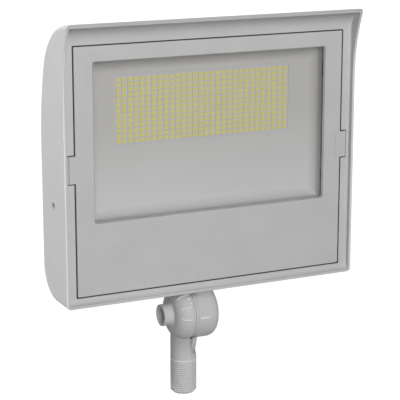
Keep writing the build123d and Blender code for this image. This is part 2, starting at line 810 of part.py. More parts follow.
with BuildPart() as ground_screw:
    with BuildSketch(layer(driver_bay_depth)):
        with Locations((ground_screw_x, ground_screw_z)):
            fastener_outline(ground_screw_head_radius)
    extrude(amount=ground_screw_head_height)
    with BuildSketch(layer(driver_bay_depth)):
        with Locations((ground_screw_x, ground_screw_z)):
            fastener_outline(ground_screw_radius)
    extrude(amount=-(bay_screw_length - driver_wall - hole_clearance))


def in_head(x, depth, height):
    """Point given from the middle of the frame's front face, in part coordinates."""
    return Vector(mid_x + x, face_y + depth, mid_z + height)


def lead_radius_at(points):
    """Bend radius a routed lead takes: a share of the shortest run over the half turn's tangent."""
    smallest = None
    for before, corner, after in zip(points, points[1:], points[2:]):
        first = corner - before
        second = after - corner
        half_turn = radians(first.get_angle(second)) / 2
        radius = lead_bend_share * min(first.length, second.length) * cos(half_turn) / sin(half_turn)
        smallest = radius if smallest is None else min(smallest, radius)
    return smallest


connector_depth = board_front - connector_height / 2
positive_points = [
    in_head(driver_right, driver_front + positive_exit[0], driver_top - positive_exit[1]),
    in_head(driver_right + positive_run, driver_front + positive_exit[0], driver_top - positive_exit[1]),
    in_head(connector_right + positive_entry_run, connector_depth, connector_top - connector_pin_inset),
    in_head(connector_right, connector_depth, connector_top - connector_pin_inset),
]
negative_points = [
    in_head(driver_right, driver_front + negative_exit[0], driver_top - negative_exit[1]),
    in_head(driver_right + negative_run, driver_front + negative_exit[0], driver_top - negative_exit[1]),
    in_head(connector_right + negative_entry_run, connector_depth, connector_bottom + connector_pin_inset),
    in_head(connector_right, connector_depth, connector_bottom + connector_pin_inset),
]

# Two leads from the driver to the light board's connector
with BuildPart() as led_lead_positive:
    with BuildLine():
        positive_path = FilletPolyline(*positive_points, radius=lead_radius_at(positive_points))
    with BuildSketch(Plane(origin=positive_points[0], z_dir=(1, 0, 0))):
        RegularPolygon(lead_radius, lead_sides)
    sweep(path=positive_path)

with BuildPart() as led_lead_negative:
    with BuildLine():
        negative_path = FilletPolyline(*negative_points, radius=lead_radius_at(negative_points))
    with BuildSketch(Plane(origin=negative_points[0], z_dir=(1, 0, 0))):
        RegularPolygon(lead_radius, lead_sides)
    sweep(path=negative_path)

# Two straight leads from the terminal block to the driver
input_start_x = mid_x + terminal_right
with BuildPart() as input_lead_line:
    with BuildSketch(Plane.YZ.offset(input_start_x)):
        with Locations((face_y + input_lead_depth, mid_z + terminal_top - input_lead_drops[0])):
            RegularPolygon(lead_radius, lead_sides)
    extrude(amount=input_lead_length)

with BuildPart() as input_lead_neutral:
    with BuildSketch(Plane.YZ.offset(input_start_x)):
        with Locations((face_y + input_lead_depth, mid_z + terminal_top - input_lead_drops[1])):
            RegularPolygon(lead_radius, lead_sides)
    extrude(amount=input_lead_length)

# Upper half of the knuckle with its neck
with BuildPart() as knuckle_upper:
    with BuildSketch(Plane.XZ):
        with BuildLine():
            hub_line = Line((neck_start_x, hinge_height), (neck_start_x, hinge_height + knuckle_radius))
            rim = Line(hub_line @ 1, (upper_end_x - upper_corner_radius, hinge_height + knuckle_radius))
            corner = JernArc(rim @ 1, (1, 0), upper_corner_radius, -90)
            end = Line(corner @ 1, (upper_end_x, hinge_height))
            Line(end @ 1, hub_line @ 0)
        make_face()
    revolve(axis=hinge_axis)
    with BuildSketch(Plane.XY.offset(hinge_height)):
        with Locations(((neck_start_x + neck_end_x) / 2, 0)):
            RectangleRounded(neck_end_x - neck_start_x, 2 * neck_half_depth, neck_edge_radius)
    extrude(amount=neck_top - hinge_height)
    with BuildSketch(across(upper_root_x)):
        Circle(band_radius)
    extrude(amount=neck_start_x - upper_root_x)
    with BuildSketch(across(upper_face_x)):
        Circle(tooth_inner_radius)
    extrude(amount=upper_root_x - upper_face_x)
    with BuildSketch(across(upper_root_x)):
        Circle(band_radius)
        Circle(band_radius - seam_rim_width, mode=Mode.SUBTRACT)
        with PolarLocations((tooth_start + tooth_end) / 2, tooth_count):
            Rectangle(tooth_end - tooth_start, tooth_width)
    extrude(amount=-tooth_height)
    with BuildSketch(across(upper_face_x)):
        Circle(chamber_outer_radius)
        Circle(chamber_inner_radius, mode=Mode.SUBTRACT)
    extrude(amount=upper_chamber_depth, mode=Mode.SUBTRACT)
    with BuildSketch(across(bolt_seat_x)):
        Circle(bolt_well_radius)
    extrude(amount=upper_end_x - bolt_seat_x, mode=Mode.SUBTRACT)
    with BuildSketch(across(upper_face_x)):
        Circle(bolt_radius + bolt_clearance)
    extrude(amount=bolt_seat_x - upper_face_x, mode=Mode.SUBTRACT)
    with BuildSketch(Plane.XY.offset(neck_top)):
        with Locations((neck_wire_x, 0)):
            Circle(neck_wire_radius)
    extrude(amount=-(neck_top - hinge_height - chamber_outer_radius + 2), mode=Mode.SUBTRACT)
    with BuildSketch(Plane.XY.offset(neck_top)):
        with Locations(neck_screw_places):
            fastener_outline(neck_screw_radius + tap_clearance)
    extrude(amount=-neck_screw_reach, mode=Mode.SUBTRACT)

with BuildPart() as knuckle_gasket:
    with BuildSketch(Plane.XY.offset(neck_top)):
        with Locations(((neck_start_x + neck_end_x) / 2, 0)):
            RectangleRounded(neck_end_x - neck_start_x, 2 * neck_half_depth, neck_edge_radius)
        with Locations(neck_screw_places):
            fastener_outline(neck_screw_radius + hole_clearance, Mode.SUBTRACT)
        with Locations((neck_wire_x, 0)):
            Circle(neck_wire_radius, mode=Mode.SUBTRACT)
    extrude(amount=neck_gasket_thickness)

with BuildPart() as knuckle_mount_screws:
    with BuildSketch(Plane.XY.offset(housing_floor_z)):
        with Locations(neck_screw_places):
            fastener_outline(neck_screw_head_radius)
    extrude(amount=neck_screw_head_height)
    with BuildSketch(Plane.XY.offset(housing_floor_z)):
        with Locations(neck_screw_places):
            fastener_outline(neck_screw_radius)
    extrude(amount=-(housing_floor_z - neck_top + neck_screw_reach - hole_clearance))

# Lower half of the knuckle with its threaded stem
with BuildPart() as knuckle_lower:
    with BuildSketch(Plane.XY):
        Circle(stem_radius)
    extrude(amount=hinge_height)
    for angle in stem_flat_angles:
        flat_plane = Plane(origin=(0, 0, stem_flat_bottom), x_dir=(cos(radians(angle)), sin(radians(angle)), 0))
        with BuildSketch(flat_plane):
            with Locations((stem_flat_distance + stem_radius / 2, 0)):
                Rectangle(stem_radius, 2 * stem_radius)
        extrude(amount=hinge_height - stem_flat_bottom, mode=Mode.SUBTRACT)
    # Rib that stands out of both flats
    with BuildSketch(Plane.YZ.offset(rib_start_x)):
        Polygon(
            (-rib_foot_half_depth, rib_foot_height),
            (-rib_knee_half_depth, rib_knee_height),
            (-rib_top_half_depth, rib_top_height),
            (rib_top_half_depth, rib_top_height),
            (rib_knee_half_depth, rib_knee_height),
            (rib_foot_half_depth, rib_foot_height),
            align=None,
        )
    extrude(amount=rib_thickness)
    # Room for the upper half to turn in
    with BuildSketch(across(lower_root_x)):
        Circle(knuckle_radius + stem_top_clearance)
    extrude(amount=2 * stem_radius, mode=Mode.SUBTRACT)
    with BuildSketch(Plane.XZ):
        with BuildLine():
            rim_x = seam_x - seam_band
            inner = Line((rim_x, hinge_height), (rim_x, hinge_height + knuckle_radius))
            top = Line(inner @ 1, (dome_face_x + dome_corner_radius, hinge_height + knuckle_radius))
            dome = JernArc(top @ 1, (-1, 0), dome_corner_radius, 90)
            dome_face = Line(dome @ 1, (dome_face_x, hinge_height + boss_radius + boss_root_radius))
            boss_root = JernArc(dome_face @ 1, (0, -1), boss_root_radius, -90)
            boss = Line(boss_root @ 1, (boss_end_x, hinge_height + boss_radius))
            boss_end = Line(boss @ 1, (boss_end_x, hinge_height))
            Line(boss_end @ 1, inner @ 0)
        make_face()
    revolve(axis=hinge_axis)
    with BuildSketch(across(rim_x)):
        Circle(band_radius)
    extrude(amount=lower_root_x - rim_x)
    with BuildSketch(across(lower_root_x)):
        Circle(tooth_inner_radius)
    extrude(amount=lower_face_x - lower_root_x)
    with BuildSketch(across(lower_root_x)):
        Circle(band_radius)
        Circle(band_radius - seam_rim_width, mode=Mode.SUBTRACT)
        with PolarLocations((tooth_start + tooth_end) / 2, tooth_count):
            Rectangle(tooth_end - tooth_start, tooth_width)
    extrude(amount=tooth_height)
    with BuildSketch(Plane.XY):
        Circle(thread_radius)
    extrude(amount=-thread_length)
    chamfer(knuckle_lower.faces().sort_by(Axis.Z)[0].edges(), length=thread_end_chamfer)
    with BuildSketch(Plane.XY.offset(-thread_length)):
        Circle(stem_bore_radius)
    extrude(amount=thread_length + stem_bore_top, mode=Mode.SUBTRACT)
    with BuildSketch(Plane.XY):
        with Locations((lower_wireway_x, 0)):
            Circle(lower_wireway_radius)
    extrude(amount=hinge_height - chamber_outer_radius + 2, mode=Mode.SUBTRACT)
    with BuildSketch(across(lower_face_x)):
        Circle(chamber_outer_radius)
        Circle(chamber_inner_radius, mode=Mode.SUBTRACT)
    extrude(amount=-lower_chamber_depth, mode=Mode.SUBTRACT)
    with BuildSketch(across(lower_face_x)):
        Circle(seal_groove_outer)
        Circle(seal_groove_inner, mode=Mode.SUBTRACT)
    extrude(amount=-seal_groove_depth, mode=Mode.SUBTRACT)
    with BuildSketch(across(boss_end_x)):
        Circle(boss_recess_radius)
    extrude(amount=boss_recess_depth, mode=Mode.SUBTRACT)
    with BuildSketch(across(lower_face_x)):
        Circle(bolt_radius + bolt_clearance)
    extrude(amount=boss_end_x - lower_face_x, mode=Mode.SUBTRACT)

# Seal ring of square section that fills its groove
with BuildPart() as knuckle_o_ring:
    with BuildSketch(across(lower_face_x)):
        Circle(seal_groove_outer - seal_fit)
        Circle(seal_groove_inner + seal_fit, mode=Mode.SUBTRACT)
    extrude(amount=-seal_groove_depth)

# Clamp bolt and its washers in the well of the upper half
flat_washer_end = bolt_seat_x + washer_thickness
bolt_head_x = flat_washer_end + lock_washer_thickness
with BuildPart() as flat_washer:
    with BuildSketch(across(bolt_seat_x)):
        Circle(washer_radius)
        Circle(washer_bore_radius, mode=Mode.SUBTRACT)
    extrude(amount=washer_thickness)

with BuildPart() as lock_washer:
    with BuildSketch(across(flat_washer_end)):
        Circle(lock_washer_radius)
        Circle(washer_bore_radius, mode=Mode.SUBTRACT)
        with Locations((0, lock_washer_radius)):
            Rectangle(lock_washer_slit, 2 * (lock_washer_radius - washer_bore_radius + 1), mode=Mode.SUBTRACT)
    extrude(amount=lock_washer_thickness)

with BuildPart() as clamp_bolt:
    with BuildSketch(across(bolt_head_x)):
        RegularPolygon(bolt_head_flats / 2, 6, major_radius=False)
    extrude(amount=bolt_head_height)
    with BuildSketch(across(bolt_head_x)):
        Circle(bolt_radius)
    extrude(amount=bolt_end_x - bolt_head_x)
    chamfer(clamp_bolt.faces().sort_by(Axis.X)[0].edges(), length=0.8)

pieces = {
    "housing": housing,
    "front_frame": front_frame,
    "frame_gasket": frame_gasket,
    "lens_gasket": lens_gasket,
    "lens_glass": lens_glass,
    "lens_clips": lens_clips,
    "lens_clip_screws": lens_clip_screws,
    "frame_screws": frame_screws,
    "reflector_tray": reflector_tray,
    "tray_screws": tray_screws,
    "led_board": led_board,
    "led_board_screws": led_board_screws,
    "thermal_pad": thermal_pad,
    "led_emitters": led_emitters,
    "led_connector": led_connector,
    "driver_case": driver_case,
    "driver_lid": driver_lid,
    "driver_lid_screws": driver_lid_screws,
    "driver_mount_screws": driver_mount_screws,
    "driver_board": driver_board,
    "driver_transformer": driver_transformer,
    "driver_capacitors": driver_capacitors,
    "terminal_block": terminal_block,
    "surge_protector": surge_protector,
    "ground_screw": ground_screw,
    "led_lead_positive": led_lead_positive,
    "led_lead_negative": led_lead_negative,
    "input_lead_line": input_lead_line,
    "input_lead_neutral": input_lead_neutral,
    "knuckle_upper": knuckle_upper,
    "knuckle_gasket": knuckle_gasket,
    "knuckle_mount_screws": knuckle_mount_screws,
    "knuckle_lower": knuckle_lower,
    "knuckle_o_ring": knuckle_o_ring,
    "flat_washer": flat_washer,
    "lock_washer": lock_washer,
    "clamp_bolt": clamp_bolt,
}
for name, piece in pieces.items():
    piece.part.label = name
    export_step(piece.part, f"parts/{name}.step")
    print(name, round(piece.part.volume, 1), len(piece.part.solids()))

for name, path, points in (
    ("led_lead_positive", positive_path, positive_points),
    ("led_lead_negative", negative_path, negative_points),
):
    print(name, "bend radius", round(lead_radius_at(points), 2), "length", round(path.length, 1))
print("visor tip", visor_tip)
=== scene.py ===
"""Dressed scene of an outdoor flood light: a hooded cast head on a serrated tilting knuckle."""
from __future__ import annotations

import logging
import math
from collections.abc import Sequence
from dataclasses import dataclass, replace
from enum import Enum

import bmesh
import bpy
import numpy as np
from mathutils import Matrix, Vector

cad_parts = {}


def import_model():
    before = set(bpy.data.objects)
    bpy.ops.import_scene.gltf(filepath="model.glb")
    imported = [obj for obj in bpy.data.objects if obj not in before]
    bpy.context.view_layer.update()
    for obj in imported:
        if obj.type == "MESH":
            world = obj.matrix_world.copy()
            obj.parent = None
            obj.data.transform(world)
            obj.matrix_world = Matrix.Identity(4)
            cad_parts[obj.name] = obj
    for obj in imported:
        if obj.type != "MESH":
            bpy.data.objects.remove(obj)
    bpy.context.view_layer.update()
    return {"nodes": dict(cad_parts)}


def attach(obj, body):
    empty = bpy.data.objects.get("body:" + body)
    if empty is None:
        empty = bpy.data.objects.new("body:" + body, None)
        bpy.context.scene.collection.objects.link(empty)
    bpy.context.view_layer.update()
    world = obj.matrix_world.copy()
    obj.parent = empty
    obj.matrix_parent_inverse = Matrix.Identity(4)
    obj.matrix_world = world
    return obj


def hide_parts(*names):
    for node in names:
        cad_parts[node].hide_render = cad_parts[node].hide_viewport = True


LOG = logging.getLogger("flood_light")
MM = 0.001
FULL_TURN = 2 * np.pi
QUARTER_TURN = np.pi / 2
MERGE_DISTANCE = 1e-7
SOLID_MERGE_DISTANCE = 1e-6
CORNER_STEPS = 9
WHITE = (1.0, 1.0, 1.0, 1.0)


class Body(Enum):
    """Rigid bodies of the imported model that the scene's own pieces ride on."""

    MOUNT = "mount"
    HEAD = "head"


class NodeDesk:
    """Short calls that add and join nodes in one tree."""

    def __init__(self, tree: bpy.types.NodeTree) -> None:
        """Work on one tree.

        Args:
            tree: Node tree of a material or a world.
        """
        self.tree = tree

    def add(self, kind: str, **values: object) -> bpy.types.Node:
        """Add a node and set its own properties or its inputs by name.

        Args:
            kind: Blender's type name of the node.
            **values: Properties of the node, or inputs with underscores for spaces.

        Returns:
            The new node.
        """
        node = self.tree.nodes.new(kind)
        for key, value in values.items():
            if hasattr(node, key):
                setattr(node, key, value)
            else:
                node.inputs[key.replace("_", " ")].default_value = value
        return node

    def link(self, source: bpy.types.NodeSocket, target: bpy.types.NodeSocket) -> None:
        """Join an output to an input.

        Args:
            source: Output socket.
            target: Input socket.
        """
        self.tree.links.new(source, target)

    def remap(
        self,
        source: bpy.types.NodeSocket,
        old: tuple[float, float],
        new: tuple[float, float] = (0.0, 1.0),
    ) -> bpy.types.NodeSocket:
        """Map a value from one range onto another, held at the ends.

        Args:
            source: Socket with the value.
            old: Where its range starts and ends; it may run downwards.
            new: What the two ends become.

        Returns:
            The socket with the mapped value.
        """
        node = self.add(
            "ShaderNodeMapRange", From_Min=old[0], From_Max=old[1], To_Min=new[0], To_Max=new[1]
        )
        self.link(source, node.inputs["Value"])
        return node.outputs["Result"]

    def reckon(
        self, operation: str, first: bpy.types.NodeSocket, second: bpy.types.NodeSocket | float
    ) -> bpy.types.NodeSocket:
        """Work out one value from two.

        Args:
            operation: Blender's name of the operation.
            first: Socket with the first value.
            second: Socket with the second value, or the value itself.

        Returns:
            The socket with the outcome.
        """
        node = self.add("ShaderNodeMath", operation=operation)
        self.link(first, node.inputs[0])
        if isinstance(second, float):
            node.inputs[1].default_value = second
        else:
            self.link(second, node.inputs[1])
        return node.outputs[0]

    def length(self, vector: bpy.types.NodeSocket) -> bpy.types.NodeSocket:
        """Work out the length of a vector.

        Args:
            vector: Socket with the vector.

        Returns:
            The socket with its length.
        """
        node = self.add("ShaderNodeVectorMath", operation="LENGTH")
        self.link(vector, node.inputs[0])
        return node.outputs["Value"]

    def seen_ray(self) -> bpy.types.NodeSocket:
        """Tell rays that show a thing from rays that only light others.

        Returns:
            The socket that is 1 on camera, glossy and transmission rays, and 0 on the rest.
        """
        path = self.add("ShaderNodeLightPath")
        either = self.reckon(
            "MAXIMUM", path.outputs["Is Camera Ray"], path.outputs["Is Glossy Ray"]
        )
        return self.reckon("MAXIMUM", either, path.outputs["Is Transmission Ray"])


@dataclass(frozen=True)
class Gloss:
    """How an opaque finish shines: roughness, blotches and fine grain, whose depth is in metres."""

    roughness: tuple[float, float] = (0.4, 0.5)
    specular: float = 0.5
    metallic: float = 0.0
    blotch_scale: float = 40.0
    grain_scale: float = 2200.0
    grain_depth: float = 0.00003
    grain_strength: float = 0.5


class NodeSheet(NodeDesk):
    """Node tree of one material round a principled shader.

    PATTERN is the range in which nearly all of a noise pattern lies, RAMP the values at which a
    tint has reached its two tones, and BLOTCH_DETAIL the octaves of a blotchy pattern.
    """

    PATTERN = (0.3, 0.7)
    RAMP = (0.35, 0.65)
    BLOTCH_DETAIL = 3.0

    def __init__(self, name: str) -> None:
        """Start a material of this name.

        Args:
            name: Name of the new material.
        """
        self.material = bpy.data.materials.new(name)
        self.material.use_nodes = True
        super().__init__(self.material.node_tree)
        self.shader = self.tree.nodes["Principled BSDF"]
        self.output = self.tree.nodes["Material Output"]
        self.place = self.add("ShaderNodeTexCoord").outputs["Object"]

    def noise(self, scale: float, detail: float = 2.0) -> bpy.types.NodeSocket:
        """Add a noise pattern in part coordinates.

        Args:
            scale: Cells per metre.
            detail: Octaves of the noise.

        Returns:
            The socket that carries the pattern, which lies mostly within PATTERN.
        """
        node = self.add("ShaderNodeTexNoise", Scale=scale, Detail=detail)
        self.link(self.place, node.inputs["Vector"])
        return node.outputs["Fac"]

    def blotches(self, scale: float) -> bpy.types.NodeSocket:
        """Add a noise pattern of soft blotches, so many cells to the metre."""
        return self.noise(scale, self.BLOTCH_DETAIL)

    def spread(
        self, source: bpy.types.NodeSocket, values: tuple[float, float]
    ) -> bpy.types.NodeSocket:
        """Map a noise pattern onto a range, from its dark end to its bright one."""
        return self.remap(source, self.PATTERN, values)

    def tint(
        self, source: bpy.types.NodeSocket, dark: tuple[float, ...], light: tuple[float, ...]
    ) -> bpy.types.NodeSocket:
        """Colour a pattern between two tones, which it reaches at the ends of RAMP.

        Args:
            source: Socket with the pattern.
            dark: Linear colour at the pattern's low end.
            light: Linear colour at its high end.

        Returns:
            The socket with the colour.
        """
        node = self.add("ShaderNodeValToRGB")
        for element, position, tone in zip(node.color_ramp.elements, self.RAMP, (dark, light)):
            element.position = position
            element.color = (*tone, 1.0)
        self.link(source, node.inputs["Fac"])
        return node.outputs["Color"]

    def coat(
        self, colour: bpy.types.NodeSocket, blotches: bpy.types.NodeSocket, gloss: Gloss
    ) -> None:
        """Give the shader its colour, its uneven roughness and its grain.

        Args:
            colour: Socket with the base colour.
            blotches: Socket with the pattern that the roughness follows.
            gloss: How the finish shines.
        """
        self.link(colour, self.shader.inputs["Base Color"])
        self.link(self.spread(blotches, gloss.roughness), self.shader.inputs["Roughness"])
        self.shader.inputs["Metallic"].default_value = gloss.metallic
        self.shader.inputs["Specular IOR Level"].default_value = gloss.specular
        depth, strength = gloss.grain_depth, gloss.grain_strength
        grain = self.add("ShaderNodeBump", Distance=depth, Strength=strength)
        self.link(self.noise(gloss.grain_scale), grain.inputs["Height"])
        self.link(grain.outputs["Normal"], self.shader.inputs["Normal"])


@dataclass(frozen=True)
class Coating:
    """Opaque finish of one tone: paint, moulded plastic, rubber or plated metal."""

    name: str
    dark: tuple[float, float, float]
    light: tuple[float, float, float]
    gloss: Gloss = Gloss()

    def build(self) -> bpy.types.Material:
        """Make the material.

        Returns:
            The finished material.
        """
        sheet = NodeSheet(self.name)
        blotches = sheet.blotches(self.gloss.blotch_scale)
        sheet.coat(sheet.tint(blotches, self.dark, self.light), blotches, self.gloss)
        return sheet.material


@dataclass(frozen=True)
class GrooveShadedCoating:
    """Paint on a thread round the Z axis, with painted light and shade: bright on the crests and
    dark in the grooves.
    """

    name: str
    groove: tuple[float, float, float]
    crest: tuple[float, float, float]
    radii: tuple[float, float]
    gloss: Gloss

    def build(self) -> bpy.types.Material:
        """Make the material.

        Returns:
            The finished material.
        """
        sheet = NodeSheet(self.name)
        flat = sheet.add("ShaderNodeVectorMath", operation="MULTIPLY")
        sheet.link(sheet.place, flat.inputs[0])
        flat.inputs[1].default_value = (1.0, 1.0, 0.0)
        share = sheet.remap(sheet.length(flat.outputs["Vector"]), self.radii, sheet.PATTERN)
        tone = sheet.tint(share, self.groove, self.crest)
        sheet.coat(tone, sheet.blotches(self.gloss.blotch_scale), self.gloss)
        return sheet.material


@dataclass(frozen=True)
class PaintedShadeCoating:
    """White paint with painted shade: darker and warmer with its height along Z, and darker towards
    its rim along Y.
    """

    name: str
    low: tuple[float, float, float]
    high: tuple[float, float, float]
    heights: tuple[float, float]
    shade: float
    shade_span: tuple[float, float]
    gloss: Gloss
    shade_bend: float = 0.6
    patch_scale: float = 18.0
    patch_shift: float = 0.025

    def build(self) -> bpy.types.Material:
        """Make the material.

        Returns:
            The finished material.
        """
        sheet = NodeSheet(self.name)
        parts = sheet.add("ShaderNodeSeparateXYZ")
        sheet.link(sheet.place, parts.inputs[0])
        # painted shade: the tone goes darker and warmer towards the top
        fade = sheet.remap(parts.outputs["Z"], self.heights, sheet.RAMP)
        patches = sheet.blotches(self.patch_scale)
        shift = sheet.spread(patches, (-self.patch_shift, self.patch_shift))
        tone = sheet.tint(sheet.reckon("ADD", fade, shift), self.low, self.high)
        # painted shade: darker towards the rim, forward along Y
        ahead = sheet.remap(parts.outputs["Y"], self.shade_span)
        bent = sheet.reckon("POWER", ahead, self.shade_bend)
        toned = sheet.add("ShaderNodeVectorMath", operation="SCALE")
        sheet.link(tone, toned.inputs[0])
        sheet.link(sheet.remap(bent, (0.0, 1.0), (1.0, 1.0 - self.shade)), toned.inputs["Scale"])
        sheet.coat(toned.outputs["Vector"], sheet.blotches(self.gloss.blotch_scale), self.gloss)
        return sheet.material


@dataclass(frozen=True)
class ClearGlass:
    """Toughened flat glass: clear face on, its mirror share rising by a power of the slant."""

    name: str = "clear_glass"
    tint: tuple[float, float, float] = (0.987, 0.988, 0.986)
    roughness: float = 0.04
    face_on: float = 0.04
    slant_power: float = 5.0
    haze_scale: float = 25.0
    haze_detail: float = 4.0
    haze_depth: float = 0.00002
    haze_strength: float = 0.2

    def build(self) -> bpy.types.Material:
        """Make the material.

        Returns:
            The finished material.
        """
        sheet = NodeSheet(self.name)
        clear = sheet.add("ShaderNodeBsdfTransparent", Color=(*self.tint, 1.0))
        mirror = sheet.add("ShaderNodeBsdfGlossy", Roughness=self.roughness)
        slant = sheet.add("ShaderNodeLayerWeight", Blend=0.5)
        rise = sheet.reckon("POWER", slant.outputs["Facing"], self.slant_power)
        haze = sheet.add("ShaderNodeBump", Distance=self.haze_depth, Strength=self.haze_strength)
        sheet.link(sheet.noise(self.haze_scale, self.haze_detail), haze.inputs["Height"])
        sheet.link(haze.outputs["Normal"], mirror.inputs["Normal"])
        both = sheet.add("ShaderNodeMixShader")
        sheet.link(sheet.remap(rise, (0.0, 1.0), (self.face_on, 1.0)), both.inputs["Fac"])
        sheet.link(clear.outputs["BSDF"], both.inputs[1])
        sheet.link(mirror.outputs["BSDF"], both.inputs[2])
        sheet.link(both.outputs["Shader"], sheet.output.inputs["Surface"])
        sheet.tree.nodes.remove(sheet.shader)
        return sheet.material


Finish = Coating | GrooveShadedCoating | PaintedShadeCoating | ClearGlass

CAST = Gloss(
    (0.46, 0.54), specular=0.2, grain_scale=1600.0, grain_depth=0.00005, grain_strength=0.25
)
EDGE = replace(CAST, roughness=(0.42, 0.5), grain_strength=0.2)
SHEATH = Gloss((0.5, 0.6))

COAT = Coating("grey_powder_coat", (0.455, 0.455, 0.457), (0.475, 0.475, 0.475), CAST)
# lighter copy of the grey powder coat: painted light on the housing
HOUSING_LIT_COAT = Coating("housing_powder_coat_painted_lighter", (0.472, 0.472, 0.474), (0.492, 0.492, 0.492), CAST)
# lighter copy of the grey powder coat: painted light on the knuckle
KNUCKLE_LIT_COAT = Coating(
    "knuckle_powder_coat_painted_lighter", (0.49, 0.49, 0.492), (0.51, 0.51, 0.51),
    replace(CAST, specular=0.15, grain_strength=0.2),
)
# lighter copy of the powder coat: a painted highlight on rims and edges
EDGE_HIGHLIGHT_COAT = Coating("edge_painted_highlight_coat", (0.60, 0.60, 0.602), (0.63, 0.63, 0.63), EDGE)
# lighter copy of the powder coat: a painted highlight on the scale's bars and pointer
MARK_HIGHLIGHT_COAT = Coating(
    "mark_painted_highlight_coat", (0.67, 0.67, 0.672), (0.70, 0.70, 0.70),
    replace(EDGE, specular=0.25, grain_strength=0.15),
)
# painted light and shade on the thread: lighter crests, darker grooves
THREAD = GrooveShadedCoating(
    "thread_painted_shade_coat", groove=(0.50, 0.50, 0.50), crest=(0.66, 0.66, 0.66),
    radii=(0.0096, 0.0106),
    gloss=Gloss(
        (0.40, 0.50), specular=0.15, blotch_scale=160.0, grain_scale=1600.0, grain_strength=0.1
    ),
)
# tray paint with painted shade, darker and warmer towards the top and darker towards the rim
TRAY = PaintedShadeCoating(
    "tray_white_paint_painted_shade", low=(0.522, 0.520, 0.530), high=(0.418, 0.410, 0.400),
    heights=(0.135, 0.200), shade=0.22, shade_span=(-0.0045, -0.0140),
    gloss=Gloss((0.5, 0.58), specular=0.3, blotch_scale=60.0, grain_strength=0.15),
)
BOARD = Coating(
    "white_solder_mask", (0.43, 0.43, 0.50), (0.455, 0.455, 0.525),
    Gloss((0.4, 0.48), specular=0.3, grain_strength=0.1),
)
PHOSPHOR = Coating(
    "yellow_phosphor", (0.53, 0.485, 0.14), (0.58, 0.535, 0.17),
    Gloss((0.4, 0.5), specular=0.3, blotch_scale=900.0, grain_strength=0.2),
)
RUBBER = Coating(
    "dark_grey_rubber", (0.035, 0.035, 0.036), (0.05, 0.05, 0.05),
    Gloss((0.7, 0.85), specular=0.3),
)
SILICONE = Coating(
    "grey_silicone", (0.29, 0.29, 0.29), (0.32, 0.32, 0.318),
    Gloss((0.5, 0.62), specular=0.3),
)
SPRING = Coating(
    "bright_spring_steel", (0.42, 0.42, 0.42), (0.50, 0.50, 0.51),
    Gloss((0.22, 0.34), metallic=1.0),
)
ZINC = Coating(
    "zinc_plated_steel", (0.33, 0.335, 0.35), (0.43, 0.43, 0.44),
    Gloss((0.3, 0.46), metallic=1.0),
)
SHEET = Coating(
    "plain_aluminium_sheet", (0.45, 0.45, 0.46), (0.54, 0.54, 0.54),
    Gloss((0.3, 0.45), metallic=1.0),
)
PAD = Coating(
    "soft_grey_pad", (0.18, 0.19, 0.21), (0.22, 0.23, 0.25), Gloss((0.7, 0.8), specular=0.3)
)
PLUG = Coating("white_plug_plastic", (0.68, 0.67, 0.64), (0.73, 0.72, 0.70))
CIRCUIT = Coating("green_circuit_board", (0.02, 0.09, 0.03), (0.03, 0.13, 0.05), Gloss((0.3, 0.42)))
COIL = Coating("black_component", (0.02, 0.02, 0.022), (0.035, 0.035, 0.036), Gloss((0.4, 0.55)))
SURGE = Coating("blue_resin", (0.012, 0.02, 0.09), (0.02, 0.03, 0.13), Gloss((0.25, 0.4)))
RED_LEAD = Coating("red_sheath", (0.30, 0.01, 0.01), (0.38, 0.016, 0.014), SHEATH)
BLACK_LEAD = Coating("black_sheath", (0.012, 0.012, 0.012), (0.02, 0.02, 0.02), SHEATH)
WHITE_LEAD = Coating("white_sheath", (0.62, 0.62, 0.61), (0.70, 0.70, 0.69), SHEATH)
GLASS = ClearGlass()

NODE_FINISHES: dict[Finish, tuple[str, ...]] = {
    COAT: ("front_frame",),
    HOUSING_LIT_COAT: ("housing",),
    KNUCKLE_LIT_COAT: ("knuckle_upper", "knuckle_lower"),
    GLASS: ("lens_glass",),
    RUBBER: ("frame_gasket", "knuckle_gasket", "knuckle_o_ring"),
    SILICONE: ("lens_gasket",),
    SPRING: ("lens_clips",),
    ZINC: (
        "lens_clip_screws", "frame_screws", "tray_screws", "led_board_screws",
        "driver_lid_screws", "driver_mount_screws", "ground_screw", "knuckle_mount_screws",
        "flat_washer", "lock_washer", "clamp_bolt",
    ),
    TRAY: ("reflector_tray",),
    BOARD: ("led_board",),
    PAD: ("thermal_pad",),
    PHOSPHOR: ("led_emitters",),
    PLUG: ("led_connector", "terminal_block"),
    SHEET: ("driver_case", "driver_lid"),
    CIRCUIT: ("driver_board",),
    COIL: ("driver_transformer", "driver_capacitors"),
    SURGE: ("surge_protector",),
    RED_LEAD: ("led_lead_positive",),
    BLACK_LEAD: ("led_lead_negative", "input_lead_line"),
    WHITE_LEAD: ("input_lead_neutral",),
}


def new_object(name: str, data: bpy.types.ID) -> bpy.types.Object:
    """Put a mesh, a light or a camera into the scene.

    Args:
        name: Name of the object.
        data: What it holds.

    Returns:
        The new object.
    """
    obj = bpy.data.objects.new(name, data)
    bpy.context.scene.collection.objects.link(obj)
    return obj


